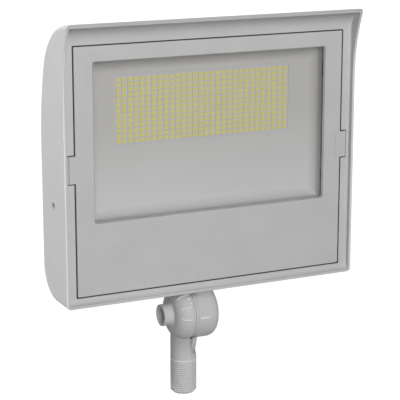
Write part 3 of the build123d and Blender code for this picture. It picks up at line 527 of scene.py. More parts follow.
class Workshop:
    """Makes pieces and keeps one material for each finish."""

    def __init__(self) -> None:
        """Start with nothing made."""
        self.made: list[bpy.types.Object] = []
        self._materials: dict[Finish, bpy.types.Material] = {}

    def dress(self, obj: bpy.types.Object, finish: Finish) -> None:
        """Set every material slot of an object to one finish, whose material is made once.

        Args:
            obj: Object to dress.
            finish: Finish that it gets.
        """
        if finish not in self._materials:
            self._materials[finish] = finish.build()
        material = self._materials[finish]
        if not obj.material_slots:
            obj.data.materials.append(material)
        for place in obj.material_slots:
            place.material = material

    def piece(
        self, name: str, mesh: bpy.types.Mesh, finish: Finish, body: Body, slot: str
    ) -> bpy.types.Object:
        """Put a mesh into the scene as a piece that rides on a body.

        Args:
            name: Name of the piece.
            mesh: Its closed mesh in part coordinates, metres.
            finish: Its finish.
            body: Body that carries it.
            slot: Material slot of the record; not used.

        Returns:
            The new object.
        """
        obj = new_object(name, mesh)
        self.dress(obj, finish)
        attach(obj, body.value)
        self.made.append(obj)
        return obj


def mesh_from(
    name: str, points: np.ndarray, faces: Sequence[Sequence[int]], smooth_angle: float = 35.0
) -> bpy.types.Mesh:
    """Make a mesh with outward faces, smooth up to an angle.

    Args:
        name: Name of the mesh.
        points: Vertices, one row each, in metres.
        faces: Vertex numbers of each face.
        smooth_angle: Largest angle between faces in degrees that is shaded smooth.

    Returns:
        The new mesh.
    """
    mesh = bpy.data.meshes.new(name)
    mesh.from_pydata(points.tolist(), [], faces)
    work = bmesh.new()
    work.from_mesh(mesh)
    bmesh.ops.remove_doubles(work, verts=work.verts, dist=MERGE_DISTANCE)
    bmesh.ops.recalc_face_normals(work, faces=work.faces)
    work.to_mesh(mesh)
    work.free()
    smooth(mesh, smooth_angle)
    return mesh


def smooth(mesh: bpy.types.Mesh, angle: float) -> None:
    """Shade a mesh smooth, with sharp edges where it turns by more than an angle.

    Args:
        mesh: Mesh to shade.
        angle: That angle in degrees.
    """
    mesh.polygons.foreach_set("use_smooth", np.ones(len(mesh.polygons), bool))
    mesh.set_sharp_from_angle(angle=math.radians(angle))
    mesh.update()


def join_rings(rings: np.ndarray, closed_loop: bool = False, first: int = 0) -> list[list[int]]:
    """Number the faces of a tube through equal rings.

    Each face joins a vertex, the next one round its ring and the same two of the next ring.

    Args:
        rings: Array of rings by points by three.
        closed_loop: Whether the last ring joins the first; if not, both ends get a lid.
        first: Number of the first vertex.

    Returns:
        The vertex numbers of each face.
    """
    count, sides = rings.shape[:2]
    here = first + np.arange(count * sides).reshape(count, sides)
    there = np.roll(here, -1, axis=0)
    corners = [here, np.roll(here, -1, axis=1), np.roll(there, -1, axis=1), there]
    bands = np.stack(corners, -1)[: count if closed_loop else count - 1]
    faces = bands.reshape(-1, 4).tolist()
    if not closed_loop:
        faces += [here[0, ::-1].tolist(), here[-1].tolist()]
    return faces


def loft(
    name: str, rings: np.ndarray, closed_loop: bool = False, smooth_angle: float = 35.0
) -> bpy.types.Mesh:
    """Make the mesh of a tube through equal rings.

    Args:
        name: Name of the mesh.
        rings: Array of rings by points by three, in millimetres.
        closed_loop: Whether the last ring joins the first; if not, both ends get a lid.
        smooth_angle: Largest angle between faces in degrees that is shaded smooth.

    Returns:
        The closed mesh in metres.
    """
    return mesh_from(name, rings.reshape(-1, 3) * MM, join_rings(rings, closed_loop), smooth_angle)


def round_angles(count: int) -> np.ndarray:
    """Share a full turn out evenly, in radians, without its end."""
    return np.linspace(0.0, FULL_TURN, count, endpoint=False)


def turned(
    radius: np.ndarray | float, height: np.ndarray | float, angles: np.ndarray
) -> np.ndarray:
    """Carry radii and heights round the Z axis.

    Each point is the radius times the cosine, the radius times the sine, and the height.

    Args:
        radius: Radius by ring and angle, or in a shape that spreads over both.
        height: Height in such a shape.
        angles: Angles in radians.

    Returns:
        The points, rings by angles by three.
    """
    radius, height, angles = np.broadcast_arrays(radius, height, angles)
    return np.stack([radius * np.cos(angles), radius * np.sin(angles), height], -1)


@dataclass(frozen=True)
class ThreadSize:
    """Sizes of a screw thread on a bored shank, in millimetres."""

    crest_radius: float
    root_radius: float
    bore_radius: float
    pitch: float
    length: float
    end_chamfer: float
    run_out: float = 2.6
    crest_share: float = 0.14
    steps_per_turn: int = 96
    rows_per_pitch: int = 12


def thread_sleeve(name: str, size: ThreadSize) -> bpy.types.Mesh:
    """Make a closed sleeve down from Z = 0 whose outside is one helical thread.

    The outside is a height field over angle and depth: the radius is the crest radius less the
    thread's depth times a clipped triangle wave of the depth over the pitch plus the share of a
    turn. The wave fades in over the run-out, and a cone at 45 degrees cuts the lower end.

    Args:
        name: Name of the mesh.
        size: Sizes of the thread.

    Returns:
        The mesh in metres.
    """
    angles = round_angles(size.steps_per_turn)
    rows = int(size.length / size.pitch * size.rows_per_pitch) + 1
    down = np.linspace(0.0, size.length, rows)[:, None]
    phase = (down / size.pitch + angles / FULL_TURN) % 1.0
    groove = np.abs(2.0 * phase - 1.0) * (1 + 2 * size.crest_share) - size.crest_share
    fade = np.clip(down / size.run_out, 0.0, 1.0)
    cut = (size.crest_radius - size.root_radius) * np.clip(groove, 0.0, 1.0) * fade
    cone = size.crest_radius - np.clip(down - (size.length - size.end_chamfer), 0.0, None)
    outside = turned(np.minimum(size.crest_radius - cut, cone), -down, angles)
    bore = turned(size.bore_radius, np.array([[-size.length], [0.0]]), angles)
    return loft(name, np.concatenate([outside, bore]), closed_loop=True, smooth_angle=40.0)


def frame_ring(
    name: str,
    half: tuple[float, float],
    section: np.ndarray,
    corner: np.ndarray,
    middle: tuple[float, float, float],
) -> bpy.types.Mesh:
    """Carry a closed section round an upright rectangle with round corners.

    Each point of the section is an inset from the rectangle's side and a depth behind its front.
    Its ring runs round the four corners: a corner's middle lies at the half size less the inset
    and the corner radius, and the ring turns about it through a quarter.

    Args:
        name: Name of the mesh.
        half: Half width and half height of the rectangle in millimetres.
        section: Rows of inset and depth in millimetres, in order round the section.
        corner: Corner radius for each row.
        middle: Middle of the rectangle's front in part coordinates, in millimetres.

    Returns:
        The closed mesh in metres.
    """
    quarter = np.linspace(0.0, QUARTER_TURN, CORNER_STEPS)
    turns = (quarter + np.arange(4)[:, None] * QUARTER_TURN).reshape(-1, 1)
    side_x = np.repeat([1.0, -1.0, -1.0, 1.0], CORNER_STEPS)[:, None]
    side_z = np.repeat([1.0, 1.0, -1.0, -1.0], CORNER_STEPS)[:, None]
    inset, depth = section.T
    right = side_x * (half[0] - inset - corner) + corner * np.cos(turns)
    up = side_z * (half[1] - inset - corner) + corner * np.sin(turns)
    rings = np.stack([right, np.broadcast_to(depth, right.shape), up], -1) + middle
    return loft(name, rings, closed_loop=True, smooth_angle=30.0)


def strip_between(
    name: str, inner: np.ndarray, outer: np.ndarray, fronts: tuple[float, float], back: float
) -> bpy.types.Mesh:
    """Fill the space between two open lines of X and Z with a strip.

    Each station has four corners: the inner and the outer point, each at its front and at the back.

    Args:
        name: Name of the mesh.
        inner: Rows of X and Z in millimetres.
        outer: As many rows of X and Z.
        fronts: Y of the front face at the inner and at the outer line.
        back: Y of the back face.

    Returns:
        The closed mesh in metres.
    """
    edges = ((inner, fronts[0]), (outer, fronts[1]), (outer, back), (inner, back))
    rings = np.stack([np.insert(line, 1, depth, axis=1) for line, depth in edges], axis=1)
    return loft(name, rings, smooth_angle=30.0)


def tube_along(name: str, path: np.ndarray, radius: float, sides: int = 12) -> bpy.types.Mesh:
    """Sweep a round section along a line that stays in a plane of constant X.

    At each point the section spans the X axis and the line's own normal, the tangent turned by a
    quarter in that plane.

    Args:
        name: Name of the mesh.
        path: Rows of X, Y and Z in millimetres.
        radius: Radius of the section.
        sides: Corners of the section.

    Returns:
        The closed mesh in metres.
    """
    tangent = np.gradient(path, axis=0)
    tangent /= np.linalg.norm(tangent, axis=1, keepdims=True)
    normal = np.stack([np.zeros(len(path)), tangent[:, 2], -tangent[:, 1]], -1)
    angles = round_angles(sides)[:, None]
    spokes = np.cos(angles) * np.array([1.0, 0.0, 0.0]) + np.sin(angles) * normal[:, None]
    return loft(name, path[:, None] + radius * spokes, smooth_angle=60.0)


def radial_star(angles: np.ndarray, reach: float, arm: float) -> np.ndarray:
    """Give the outline of a cross as radius by angle.

    Each eighth of a turn takes the smaller of the arm's end, its reach over the cosine, and the
    arm's side, half its width over the sine of the angle from the nearest arm.

    Args:
        angles: Angles in radians.
        reach: Reach of an arm from the middle.
        arm: Width of an arm.

    Returns:
        Radius for each angle.
    """
    near = np.abs((angles + QUARTER_TURN / 2) % QUARTER_TURN - QUARTER_TURN / 2)
    never_zero = 1e-6
    return np.minimum(reach / np.cos(near), arm / 2 / np.maximum(np.sin(near), never_zero))


@dataclass(frozen=True)
class ScrewSize:
    """Sizes of a pan-head cross-recess screw, in millimetres, and the shares that shape it."""

    head_radius: float = 3.6
    head_height: float = 3.0
    shank_radius: float = 1.9
    shank_length: float = 16.5
    recess_reach: float = 2.1
    recess_arm: float = 0.95
    recess_depth: float = 1.5
    recess_foot: float = 0.8
    tip_share: float = 0.75
    tip_length: float = 0.5
    edge_share: float = 0.35
    dome_share: float = 0.9
    dome_turn: float = 0.8 * QUARTER_TURN
    dome_steps: int = 6
    sides: int = 64


def screw_mesh(name: str, size: ScrewSize, places: np.ndarray, outward: Vector) -> bpy.types.Mesh:
    """Make a group of pan-head screws with cross recesses.

    The profile is the tip, the shank, the seat, the head's edge and its dome. On the dome the
    radius falls by one less the cosine, and the height grows with the sine. The recess goes down
    from the dome as a cross that narrows to its foot.

    Args:
        name: Name of the mesh.
        size: Sizes of one screw.
        places: Middle of each head's seat, one row each, in metres.
        outward: Direction from the seat to the head.

    Returns:
        One mesh that holds all the screws.
    """
    angles = round_angles(size.sides)
    turn = np.linspace(0.0, size.dome_turn, size.dome_steps)[1:]
    dome = size.head_radius - (1 - np.cos(turn)) * size.head_height * size.dome_share
    rise = (1 - size.edge_share) * np.sin(turn) / math.sin(size.dome_turn)
    straight = (size.tip_share * size.shank_radius, size.shank_radius, size.shank_radius)
    radius = np.concatenate([straight, [size.head_radius, size.head_radius], dome])
    height = np.concatenate([
        [-size.shank_length, size.tip_length - size.shank_length, 0.0, 0.0],
        size.head_height * np.concatenate([[size.edge_share], size.edge_share + rise, [1.0]]),
        [size.head_height - size.recess_depth],
    ])
    star = radial_star(angles, size.recess_reach, size.recess_arm)
    outline = np.concatenate([
        np.broadcast_to(radius[:, None], (len(radius), size.sides)),
        star * np.array([[1.0], [size.recess_foot]]),
    ])
    one = turned(outline, height[:, None], angles)
    across = outward.orthogonal().normalized()
    flat = one.reshape(-1, 3) @ np.array([across, outward.cross(across), outward]) * MM
    points = (flat + places[:, None]).reshape(-1, 3)
    starts = range(0, len(points), len(flat))
    faces = [face for start in starts for face in join_rings(one, first=start)]
    return mesh_from(name, points, faces)


class Bar(Enum):
    """Bars of the tilt scale, by the X in millimetres where each starts."""

    LONG = -10.6
    SHORT = -3.6


@dataclass(frozen=True)
class KnuckleSize:
    """Sizes of the knuckle and of the scene's details on it, in millimetres and degrees."""

    hinge_height: float = 38.0
    radius: float = 21.7
    dome_corner: float = 10.0
    dome_flat_x: float = -12.0
    thread: ThreadSize = ThreadSize(
        crest_radius=10.668, root_radius=9.5, bore_radius=7.5, pitch=1.814, length=29.0,
        end_chamfer=2.0,
    )
    cutter_margin: float = 1.0
    cutter_sides: int = 72
    rim_x: float = -0.4
    rim_width: float = 1.0
    rim_height: float = 0.6
    rim_foot: float = 0.5
    rim_sides: int = 144
    rim_rows: int = 9
    bars: tuple[tuple[float, Bar], ...] = (
        (0.0, Bar.LONG), (27.0, Bar.LONG), (36.0, Bar.SHORT),
        (46.0, Bar.SHORT), (56.0, Bar.LONG), (83.0, Bar.LONG),
    )
    bar_to_rim: float = 0.1
    bar_width: float = 1.8
    bar_height: float = 1.5
    bar_sink: float = 0.05
    bar_foot: float = 0.6
    bar_taper: float = 0.8
    bar_stations: int = 17
    bar_rows: int = 7
    swell_power: float = 0.35
    taper_power: float = 0.5
    pointer_height: float = 0.55
    pointer_span: tuple[float, float] = (5.6, 14.5)


class Knuckle:
    """Both halves of the tilting knuckle, with the tilt scale and the pipe thread."""

    def __init__(self, shop: Workshop, size: KnuckleSize = KnuckleSize()) -> None:
        """Keep what the knuckle is made with.

        Args:
            shop: Maker of pieces and materials.
            size: Sizes of the details.
        """
        self.shop = shop
        self.size = size

    def build(self, nodes: dict[str, bpy.types.Object]) -> None:
        """Make every piece of the knuckle that the plain solids lack.

        Args:
            nodes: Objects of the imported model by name.
        """
        self.threaded_stem(nodes["knuckle_lower"])
        self.graduations()
        self.rim()
        self.index_mark()

    def threaded_stem(self, solid: bpy.types.Object) -> None:
        """Stand a copy of the lower half without its plain shank, and its thread, for the solid.

        Args:
            solid: Object of the lower half.
        """
        mesh = solid.data.copy()
        work = bmesh.new()
        work.from_mesh(mesh)
        bmesh.ops.remove_doubles(work, verts=work.verts, dist=SOLID_MERGE_DISTANCE)
        work.to_mesh(mesh)
        work.free()
        body = new_object("knuckle_lower_body", mesh)
        cutter = self._ring_cutter()
        cut = body.modifiers.new("cut_back", "BOOLEAN")
        cut.operation = "DIFFERENCE"
        cut.solver = "EXACT"
        cut.object = cutter
        graph = bpy.context.evaluated_depsgraph_get()
        made = bpy.data.meshes.new_from_object(body.evaluated_get(graph))
        bpy.data.objects.remove(body)
        bpy.data.objects.remove(cutter)
        smooth(made, angle=32.0)
        stand_in = self.shop.piece(
            "knuckle_lower_half", made, KNUCKLE_LIT_COAT, Body.MOUNT, "coated_casting"
        )
        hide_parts("knuckle_lower")
        sleeve = thread_sleeve("stem_thread", self.size.thread)
        self.shop.piece("stem_thread", sleeve, THREAD, Body.MOUNT, "coated_casting")

    def _ring_cutter(self) -> bpy.types.Object:
        """Make the ring that cuts the plain shank off below the stem.

        Returns:
            A loose object used by the cut and removed after it.
        """
        thread, margin = self.size.thread, self.size.cutter_margin
        inside, outside = thread.bore_radius - margin, thread.crest_radius + 2 * margin
        bottom = -thread.length - margin
        radius = np.array([inside, outside, outside, inside])
        height = np.array([0.0, 0.0, bottom, bottom])
        rings = turned(radius[:, None], height[:, None], round_angles(self.size.cutter_sides))
        return new_object("ring_cutter", loft("ring_cutter", rings, closed_loop=True))

    def _dome_radius(self, along: np.ndarray) -> np.ndarray:
        """Give the outer radius of the lower half at each X.

        The radius is the knuckle's on the straight part, and on the corner it follows a circle:
        the knuckle radius less the corner radius, plus the root of the corner radius squared less
        the square of the distance past the corner's start.

        Args:
            along: X in millimetres.

        Returns:
            Radius about the hinge axis in millimetres.
        """
        size = self.size
        start = size.dome_flat_x + size.dome_corner
        past = np.clip(start - along, 0.0, size.dome_corner)
        return size.radius - size.dome_corner + np.sqrt(size.dome_corner**2 - past**2)

    def _about_hinge(
        self,
        along: np.ndarray,
        radius: np.ndarray,
        side: np.ndarray | float,
        angle: np.ndarray | float,
    ) -> np.ndarray:
        """Turn places on the knuckle into points.

        A point lies in front of the hinge by the radius times the cosine less the place across
        times the sine, and above it by the radius times the sine plus the place across times the
        cosine. All four arrays spread over one shape.

        Args:
            along: X in millimetres.
            radius: Radius about the hinge axis.
            side: Place across, square to the radius.
            angle: Angle from the front towards the top, in radians.

        Returns:
            The points in millimetres, with three as the last size.
        """
        back = side * np.sin(angle) - radius * np.cos(angle)
        up = radius * np.sin(angle) + side * np.cos(angle) + self.size.hinge_height
        return np.stack(np.broadcast_arrays(along, back, up), -1)

    def _ridge(
        self, name: str, span: tuple[float, float], turn: float, height: float, body: Body
    ) -> None:
        """Lay one raised bar along the knuckle's surface at an angle round the hinge.

        The bar is a strip over X and width whose top is the surface radius plus the height times a
        power of the cosine across the width and a power of the distance from the nearer end, and
        whose underside is sunk into the casting.

        Args:
            name: Name of the piece.
            span: X in millimetres where the bar starts and ends.
            turn: Angle from the front towards the top, in degrees.
            height: How far the bar stands out.
            body: Body that carries it.
        """
        size = self.size
        first, last = span
        along = np.linspace(first, last, size.bar_stations)[:, None]
        across = np.linspace(-0.5, 0.5, size.bar_rows)
        even = np.full_like(along, size.radius)
        surface = self._dome_radius(along) if body is Body.MOUNT else even
        swell = np.cos(across * np.pi).clip(0.0) ** size.swell_power * height
        ends = np.minimum(along - first, last - along) / size.bar_taper
        top = surface - size.bar_sink + swell * np.clip(ends, 0.0, 1.0) ** size.taper_power
        side, angle = across * size.bar_width, math.radians(turn)
        upper = self._about_hinge(along, top, side, angle)
        lower = self._about_hinge(along, surface - size.bar_foot, side, angle)
        rings = np.concatenate([upper, lower[:, ::-1]], axis=1)
        mesh = loft(name, rings, smooth_angle=50.0)
        # the bar is dressed in the lighter coat as a painted highlight
        self.shop.piece(name, mesh, MARK_HIGHLIGHT_COAT, body, "coated_casting")

    def graduations(self) -> None:
        """Lay the long and short bars of the tilt scale on the lower half."""
        end = self.size.rim_x - self.size.bar_to_rim
        for number, (turn, bar) in enumerate(self.size.bars):
            span = (bar.value, end)
            self._ridge(f"tilt_bar_{number}", span, turn, self.size.bar_height, Body.MOUNT)

    def rim(self) -> None:
        """Lay the raised ring along the open edge of the lower half.

        The ring's section is a half round over X, its height the rim height times the root of one
        less the square of the place across, on a foot sunk into the casting, carried round the
        hinge.
        """
        size = self.size
        across = np.linspace(-1.0, 1.0, size.rim_rows)
        height = size.rim_height * np.sqrt(1 - across**2)
        along = size.rim_x - size.rim_width / 2 + across * size.rim_width / 2
        section_x = np.concatenate([along, along[[-1, 0]]])
        section_r = size.radius + np.concatenate([height, np.full(2, -size.rim_foot)])
        rings = self._about_hinge(section_x, section_r, 0.0, round_angles(size.rim_sides)[:, None])
        mesh = loft("tilt_rim", rings, closed_loop=True, smooth_angle=50.0)
        # the rim is dressed in the lighter coat as a painted highlight
        self.shop.piece("tilt_rim", mesh, EDGE_HIGHLIGHT_COAT, Body.MOUNT, "coated_casting")

    def index_mark(self) -> None:
        """Lay the pointer bar on the upper half."""
        size = self.size
        self._ridge("tilt_pointer", size.pointer_span, 0.0, size.pointer_height, Body.HEAD)


@dataclass(frozen=True)
class HeadSize:
    """Places in the head that the scene's details sit on, in millimetres and degrees.

    Lengths count from the middle of the window frame's front, to the right, back and up. Those of
    the rim are in part coordinates. Pairs give left and right, width and height, or front and
    back. The lips of the dark strip of painted shade in the gap are what its outer edge goes past
    the gap at left, right, top and foot. The ear's depths are its end's near front, far front and
    back.
    """

    middle: tuple[float, float, float] = (16.0, -22.0, 165.5)
    screw: ScrewSize = ScrewSize()
    screw_place: tuple[float, float, float] = (110.5, 19.0, 92.3)
    frame_half: tuple[float, float] = (114.5, 96.0)
    recess_gap: float = 1.0
    gap_shade_clearance: float = 0.03
    gap_shade_lips: tuple[float, float, float, float] = (-0.4, 0.5, -0.4, 0.25)
    gap_shade_depth: tuple[float, float] = (0.95, 2.4)
    ear_reach: float = 119.8
    ear_middle: float = 3.5
    ear_half_height: float = 10.5
    ear_depths: tuple[float, float, float] = (0.12, 1.2, 6.0)
    ear_gap_filled: tuple[float, float] = (0.9, 0.45)
    window_half: tuple[float, float] = (99.65, 61.975)
    window_middle: float = 22.275
    bead_reach: float = 0.75
    bead_depth: tuple[float, float] = (1.5, 2.3)
    bead_outside: float = 3.0
    bead_chamfer: float = 0.3
    bead_corner: float = 1.5
    tray_floor_depth: float = 17.5
    cove_reach: float = 11.0
    cove_start_depth: float = 8.0
    cove_corner: float = 1.0
    cove_corner_growth: float = 0.85
    cove_steps: int = 15
    flange_depth: tuple[float, float] = (7.4, 8.0)
    flange_inset: tuple[float, float] = (-4.0, -0.62)
    flange_corner: float = 0.6
    rim_front: float = -25.4
    rim_bottom: float = 62.6
    rim_bend: float = 225.0
    rim_arc_radius: float = 138.8
    rim_arc_angle: float = 23.0
    rim_arc_steps: int = 25
    rim_straight_steps: int = 12
    rim_sides: tuple[float, float] = (-109.0, 141.0)
    rim_tube: float = 0.75
    rim_clearance: float = 0.02
    rim_proud: float = 0.4
    rim_sink: float = 0.1


class Head:
    """Hooded housing with the details of its window, its gaps, its edges and its screws."""

    def __init__(self, shop: Workshop, size: HeadSize = HeadSize()) -> None:
        """Keep what the head is made with.

        Args:
            shop: Maker of pieces and materials.
            size: Places of the details.
        """
        self.shop = shop
        self.size = size

    def build(self) -> None:
        """Make the pieces of the head that the plain solids lack."""
        self.frame_screws()
        self.window_bead()
        self.tray_cove()
        self.tray_flange()
        self.gap_shade()
        self.ear_ends()
        self.rolled_rims()

    def frame_screws(self) -> None:
        """Stand cross-recess screws for the plain ones that hold the window frame from behind."""
        size = self.size
        corners = np.array([(-1, 1, -1), (-1, 1, 1), (1, 1, -1), (1, 1, 1)])
        places = (np.array(size.middle) + corners * size.screw_place) * MM
        mesh = screw_mesh("frame_screw_set", size.screw, places, Vector((0.0, 1.0, 0.0)))
        made = self.shop.piece("frame_screw_set", mesh, ZINC, Body.HEAD, "zinc_steel")
        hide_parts("frame_screws")

    def _window_ring(self, name: str, section: np.ndarray, corner: np.ndarray) -> bpy.types.Mesh:
        """Carry a section round the window.

        Args:
            name: Name of the mesh.
            section: Rows of inset from the window's edge and depth behind the frame's front.
            corner: Corner radius for each row.

        Returns:
            The closed mesh in metres.
        """
        x, y, z = self.size.middle
        middle = (x, y, z + self.size.window_middle)
        return frame_ring(name, self.size.window_half, section, corner, middle)

    def window_bead(self) -> None:
        """Lay the soft bead between glass and frame, its lip standing a little into the window."""
        size = self.size
        front, back = size.bead_depth
        outside, reach, chamfer = -size.bead_outside, size.bead_reach, size.bead_chamfer
        section = np.array([
            (outside, front),
            (reach - chamfer, front),
            (reach, front + chamfer),
            (reach, back),
            (outside, back),
        ])
        mesh = self._window_ring("window_bead", section, np.full(len(section), size.bead_corner))
        made = self.shop.piece("window_bead", mesh, SILICONE, Body.HEAD, "silicone")
        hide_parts("lens_gasket")

    def tray_cove(self) -> None:
        """Round the tray's corners with a coved lining.

        The cove's depth over the inset is a quarter of an ellipse, from the wall to the floor at
        its full reach, and its corner radius grows with the inset.
        """
        size = self.size
        turn = np.linspace(0.0, QUARTER_TURN, size.cove_steps)
        inset = size.cove_reach * (1 - np.cos(turn))
        fall = size.tray_floor_depth - size.cove_start_depth
        depth = size.cove_start_depth + fall * np.sin(turn)
        section = np.append(np.stack([inset, depth], -1), [[0.0, size.tray_floor_depth]], axis=0)
        corner = size.cove_corner + size.cove_corner_growth * section[:, 0]
        mesh = self._window_ring("tray_cove", section, corner)
        # the tray paint puts painted shade on the cove towards the rim
        self.shop.piece("tray_cove", mesh, TRAY, Body.HEAD, "tray_white")

    def tray_flange(self) -> None:
        """Close the tray's rim towards the frame."""
        size = self.size
        outer, inner = size.flange_inset
        front, back = size.flange_depth
        section = np.array([(outer, front), (inner, front), (inner, back), (outer, back)])
        mesh = self._window_ring("tray_flange", section, np.full(len(section), size.flange_corner))
        # the tray paint puts painted shade on the flange
        self.shop.piece("tray_flange", mesh, TRAY, Body.HEAD, "tray_white")

    def _round_frame(self, left: float, right: float, start: float, end: float) -> np.ndarray:
        """Give a line along the frame's right side, its top or foot and its left side.

        Args:
            left: Distance of the left run from the frame's middle, in millimetres.
            right: Distance of the right run.
            start: Height where both side runs start.
            end: Height of the run across.

        Returns:
            Rows of X and Z in part coordinates.
        """
        x, _, z = self.size.middle
        return np.array([(right, start), (right, end), (-left, end), (-left, start)]) + (x, z)

    def gap_shade(self) -> None:
        """Lay a dark strip in the gap round the frame as painted shade, in two runs that end at the
        ears.
        """
        size = self.size
        half_x, half_z = size.frame_half
        inner_x, inner_z = half_x + size.gap_shade_clearance, half_z + size.gap_shade_clearance
        left, right = (half_x + size.recess_gap + lip for lip in size.gap_shade_lips[:2])
        top, foot = (half_z + size.recess_gap + lip for lip in size.gap_shade_lips[2:])
        front, back = (size.middle[1] + depth for depth in size.gap_shade_depth)
        for name, way, outer_z in (("gap_shade_top", 1.0, top), ("gap_shade_foot", -1.0, foot)):
            start = size.ear_middle + way * (size.ear_half_height + size.recess_gap)
            inner = self._round_frame(inner_x, inner_x, start, way * inner_z)
            outer = self._round_frame(left, right, start, way * outer_z)
            mesh = strip_between(name, inner, outer, (front, front), back)
            # dark rubber strip: painted shade in the gap
            self.shop.piece(name, mesh, RUBBER, Body.HEAD, "grey_rubber")

    def ear_ends(self) -> None:
        """Close the gap past each ear, nearly all of it on the left and half of it on the right."""
        size = self.size
        x, y, z = size.middle
        ends = (z + size.ear_middle + way * size.ear_half_height for way in (-1, 1))
        heights = np.array(list(ends))
        near_front, far_front, back = (y + depth for depth in size.ear_depths)
        sides = zip(("ear_end_left", "ear_end_right"), (-1.0, 1.0), size.ear_gap_filled)
        for name, way, filled in sides:
            inner, outer = (
                np.stack([np.full(2, x + way * reach), heights], -1)
                for reach in (size.ear_reach, size.ear_reach + filled)
            )
            mesh = strip_between(name, inner, outer, (near_front, far_front), back)
            self.shop.piece(name, mesh, COAT, Body.HEAD, "coated_casting")

    def rolled_rims(self) -> None:
        """Round the front edge of both hood sides with a rolled rim.

        The rim runs straight up and then on an arc whose distance forward is the arc radius times
        one less the cosine, and whose height is the arc radius times the sine. It stands proud of
        the edge on the straight and sinks into it towards the visor.
        """
        size = self.size
        turn = np.radians(np.linspace(0.0, size.rim_arc_angle, size.rim_arc_steps))
        straight = np.linspace(size.rim_bottom, size.rim_bend, size.rim_straight_steps)[:-1]
        forward = np.append(np.zeros_like(straight), size.rim_arc_radius * (1 - np.cos(turn)))
        height = np.append(straight, size.rim_bend + size.rim_arc_radius * np.sin(turn))
        sinking = size.rim_proud * (1 - turn / turn[-1]) - size.rim_sink
        proud = np.append(np.full_like(straight, size.rim_proud), sinking)
        depth = size.rim_front - forward + size.rim_tube - proud
        inwards = size.rim_tube + size.rim_clearance
        left, right = size.rim_sides
        sides = (("hood_rim_left", left + inwards), ("hood_rim_right", right - inwards))
        for name, across in sides:
            path = np.stack([np.full_like(height, across), depth, height], -1)
            mesh = tube_along(name, path, size.rim_tube)
            # the rolled rim is dressed in the lighter coat as a painted highlight
            self.shop.piece(name, mesh, EDGE_HIGHLIGHT_COAT, Body.HEAD, "coated_casting")


@dataclass(frozen=True)
class CameraSize:
    """Pinhole camera of the photograph's view, in metres and degrees, its lens in millimetres."""

    position: tuple[float, float, float] = (-0.48845, -1.04875, 0.41162)
    turn: float = 25.649
    dip: float = 13.624
    focal_length: float = 134.84
    sensor: float = 36.0
    clip_end: float = 20.0


@dataclass(frozen=True)
class Lamp:
    """One soft square light, in metres and watts."""

    name: str
    position: tuple[float, float, float]
    target: tuple[float, float, float]
    size: float
    power: float


@dataclass(frozen=True)
class StudioSize:
    """Lights, floor and room, in metres, watts and strengths."""

    lamps: tuple[Lamp, ...] = (
        Lamp("front_light", (-0.28, -1.58, 0.74), (0.0, 0.0, 0.12), 0.9, 25.5),
        Lamp("side_light", (-1.3, 0.1, 1.35), (0.0, 0.0, 0.15), 0.45, 29.0),
        Lamp("back_light", (-0.1, 1.4, 1.5), (0.0, 0.0, 0.15), 0.7, 3.0),
    )
    room_light: float = 0.125
    floor_height: float = -0.20
    floor_half: float = 6.0
    floor_tones: tuple[float, float] = (0.21, 0.23)
    floor_blotches: float = 3.0
    floor_roughness: float = 0.9
    floor_glow: tuple[float, float] = (0.84, 1.0)
    glow_reach: tuple[float, float] = (0.5, 2.5)


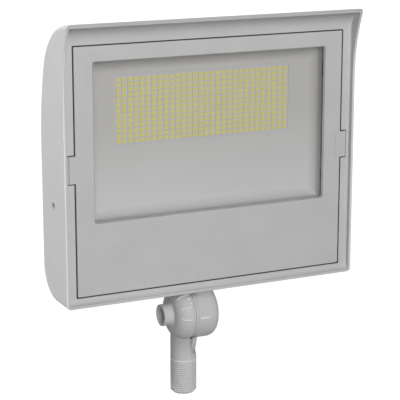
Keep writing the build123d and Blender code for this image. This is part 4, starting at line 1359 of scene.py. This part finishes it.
class Studio:
    """Camera, floor, white room and soft lights."""

    def __init__(self, size: StudioSize = StudioSize()) -> None:
        """Keep what the studio is set up with.

        Args:
            size: Its lights, floor and room.
        """
        self.size = size

    def build(self) -> None:
        """Set up the whole studio."""
        self.camera(CameraSize())
        self.floor()
        self.room()
        for lamp in self.size.lamps:
            self.light(lamp)
        bpy.context.scene.view_settings.view_transform = "Standard"

    @staticmethod
    def _stand(
        obj: bpy.types.Object, position: tuple[float, float, float], direction: Vector
    ) -> None:
        """Stand a camera or a light at a place and turn it along a direction.

        Args:
            obj: The camera or light.
            position: Its place in metres.
            direction: Where it looks.
        """
        obj.location = position
        obj.rotation_mode = "QUATERNION"
        obj.rotation_quaternion = direction.to_track_quat("-Z", "Y")

    def camera(self, size: CameraSize) -> None:
        """Place the camera at the photograph's angle.

        Args:
            size: Its place, direction and lens.
        """
        data = bpy.data.cameras.new("photo_camera")
        data.lens = size.focal_length
        data.sensor_width = size.sensor
        data.clip_end = size.clip_end
        turn, dip = math.radians(size.turn), math.radians(size.dip)
        level = math.cos(dip)
        forward = Vector((math.sin(turn) * level, math.cos(turn) * level, -math.sin(dip)))
        camera = new_object("photo_camera", data)
        self._stand(camera, size.position, forward)
        bpy.context.scene.camera = camera

    def floor(self) -> None:
        """Lay a plain floor that looks white and still keeps the part's shadow.

        Its own colour is a mid grey, so that little light comes up from it. To the camera, and in
        gloss and glass, a glow is added to it, which lifts the lit floor to white and grows with
        the distance from the part, where less light falls.
        """
        size = self.size
        corners = np.array([(-1, -1), (1, -1), (1, 1), (-1, 1)]) * size.floor_half
        points = np.insert(corners, 2, size.floor_height, axis=1)
        floor = new_object("floor", mesh_from("floor", points, [(0, 1, 2, 3)]))
        sheet = NodeSheet("pale_floor")
        sheet.shader.inputs["Roughness"].default_value = size.floor_roughness
        dark, light = ((tone,) * 3 for tone in size.floor_tones)
        tone = sheet.tint(sheet.noise(size.floor_blotches), dark, light)
        sheet.link(tone, sheet.shader.inputs["Base Color"])
        grown = sheet.remap(sheet.length(sheet.place), size.glow_reach, size.floor_glow)
        glow = sheet.add("ShaderNodeEmission", Color=WHITE)
        sheet.link(sheet.reckon("MULTIPLY", sheet.seen_ray(), grown), glow.inputs["Strength"])
        both = sheet.add("ShaderNodeAddShader")
        sheet.link(sheet.shader.outputs["BSDF"], both.inputs[0])
        sheet.link(glow.outputs["Emission"], both.inputs[1])
        sheet.link(both.outputs["Shader"], sheet.output.inputs["Surface"])
        floor.data.materials.append(sheet.material)

    def room(self) -> None:
        """Light the room evenly and low, and show it white to the camera, in gloss and in glass."""
        world = bpy.data.worlds.new("studio")
        bpy.context.scene.world = world
        world.use_nodes = True
        desk = NodeDesk(world.node_tree)
        low = desk.tree.nodes["Background"]
        low.inputs["Strength"].default_value = self.size.room_light
        low.inputs["Color"].default_value = WHITE
        shown = desk.add("ShaderNodeBackground", Color=WHITE, Strength=1.0)
        both = desk.add("ShaderNodeMixShader")
        desk.link(desk.seen_ray(), both.inputs["Fac"])
        desk.link(low.outputs["Background"], both.inputs[1])
        desk.link(shown.outputs["Background"], both.inputs[2])
        desk.link(both.outputs["Shader"], desk.tree.nodes["World Output"].inputs["Surface"])

    def light(self, lamp: Lamp) -> None:
        """Hang one soft light.

        Args:
            lamp: Its place, aim, size and power.
        """
        data = bpy.data.lights.new(lamp.name, "AREA")
        data.shape = "SQUARE"
        data.size = lamp.size
        data.energy = lamp.power
        light = new_object(lamp.name, data)
        self._stand(light, lamp.position, Vector(lamp.target) - Vector(lamp.position))


def main() -> None:
    """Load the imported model, dress it, make the pieces that it lacks and set up the studio."""
    logging.basicConfig(level=logging.INFO, format="%(name)s: %(message)s")
    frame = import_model()
    shop = Workshop()
    for finish, names in NODE_FINISHES.items():
        for name in names:
            shop.dress(frame["nodes"][name], finish)
            LOG.info("solid dressed: %s in %s", name, finish.name)
    Knuckle(shop).build(frame["nodes"])
    Head(shop).build()
    for made in shop.made:
        LOG.info("piece made: %s", made.name)
    Studio().build()
    LOG.info("studio set up")


if __name__ == "__main__":
    main()
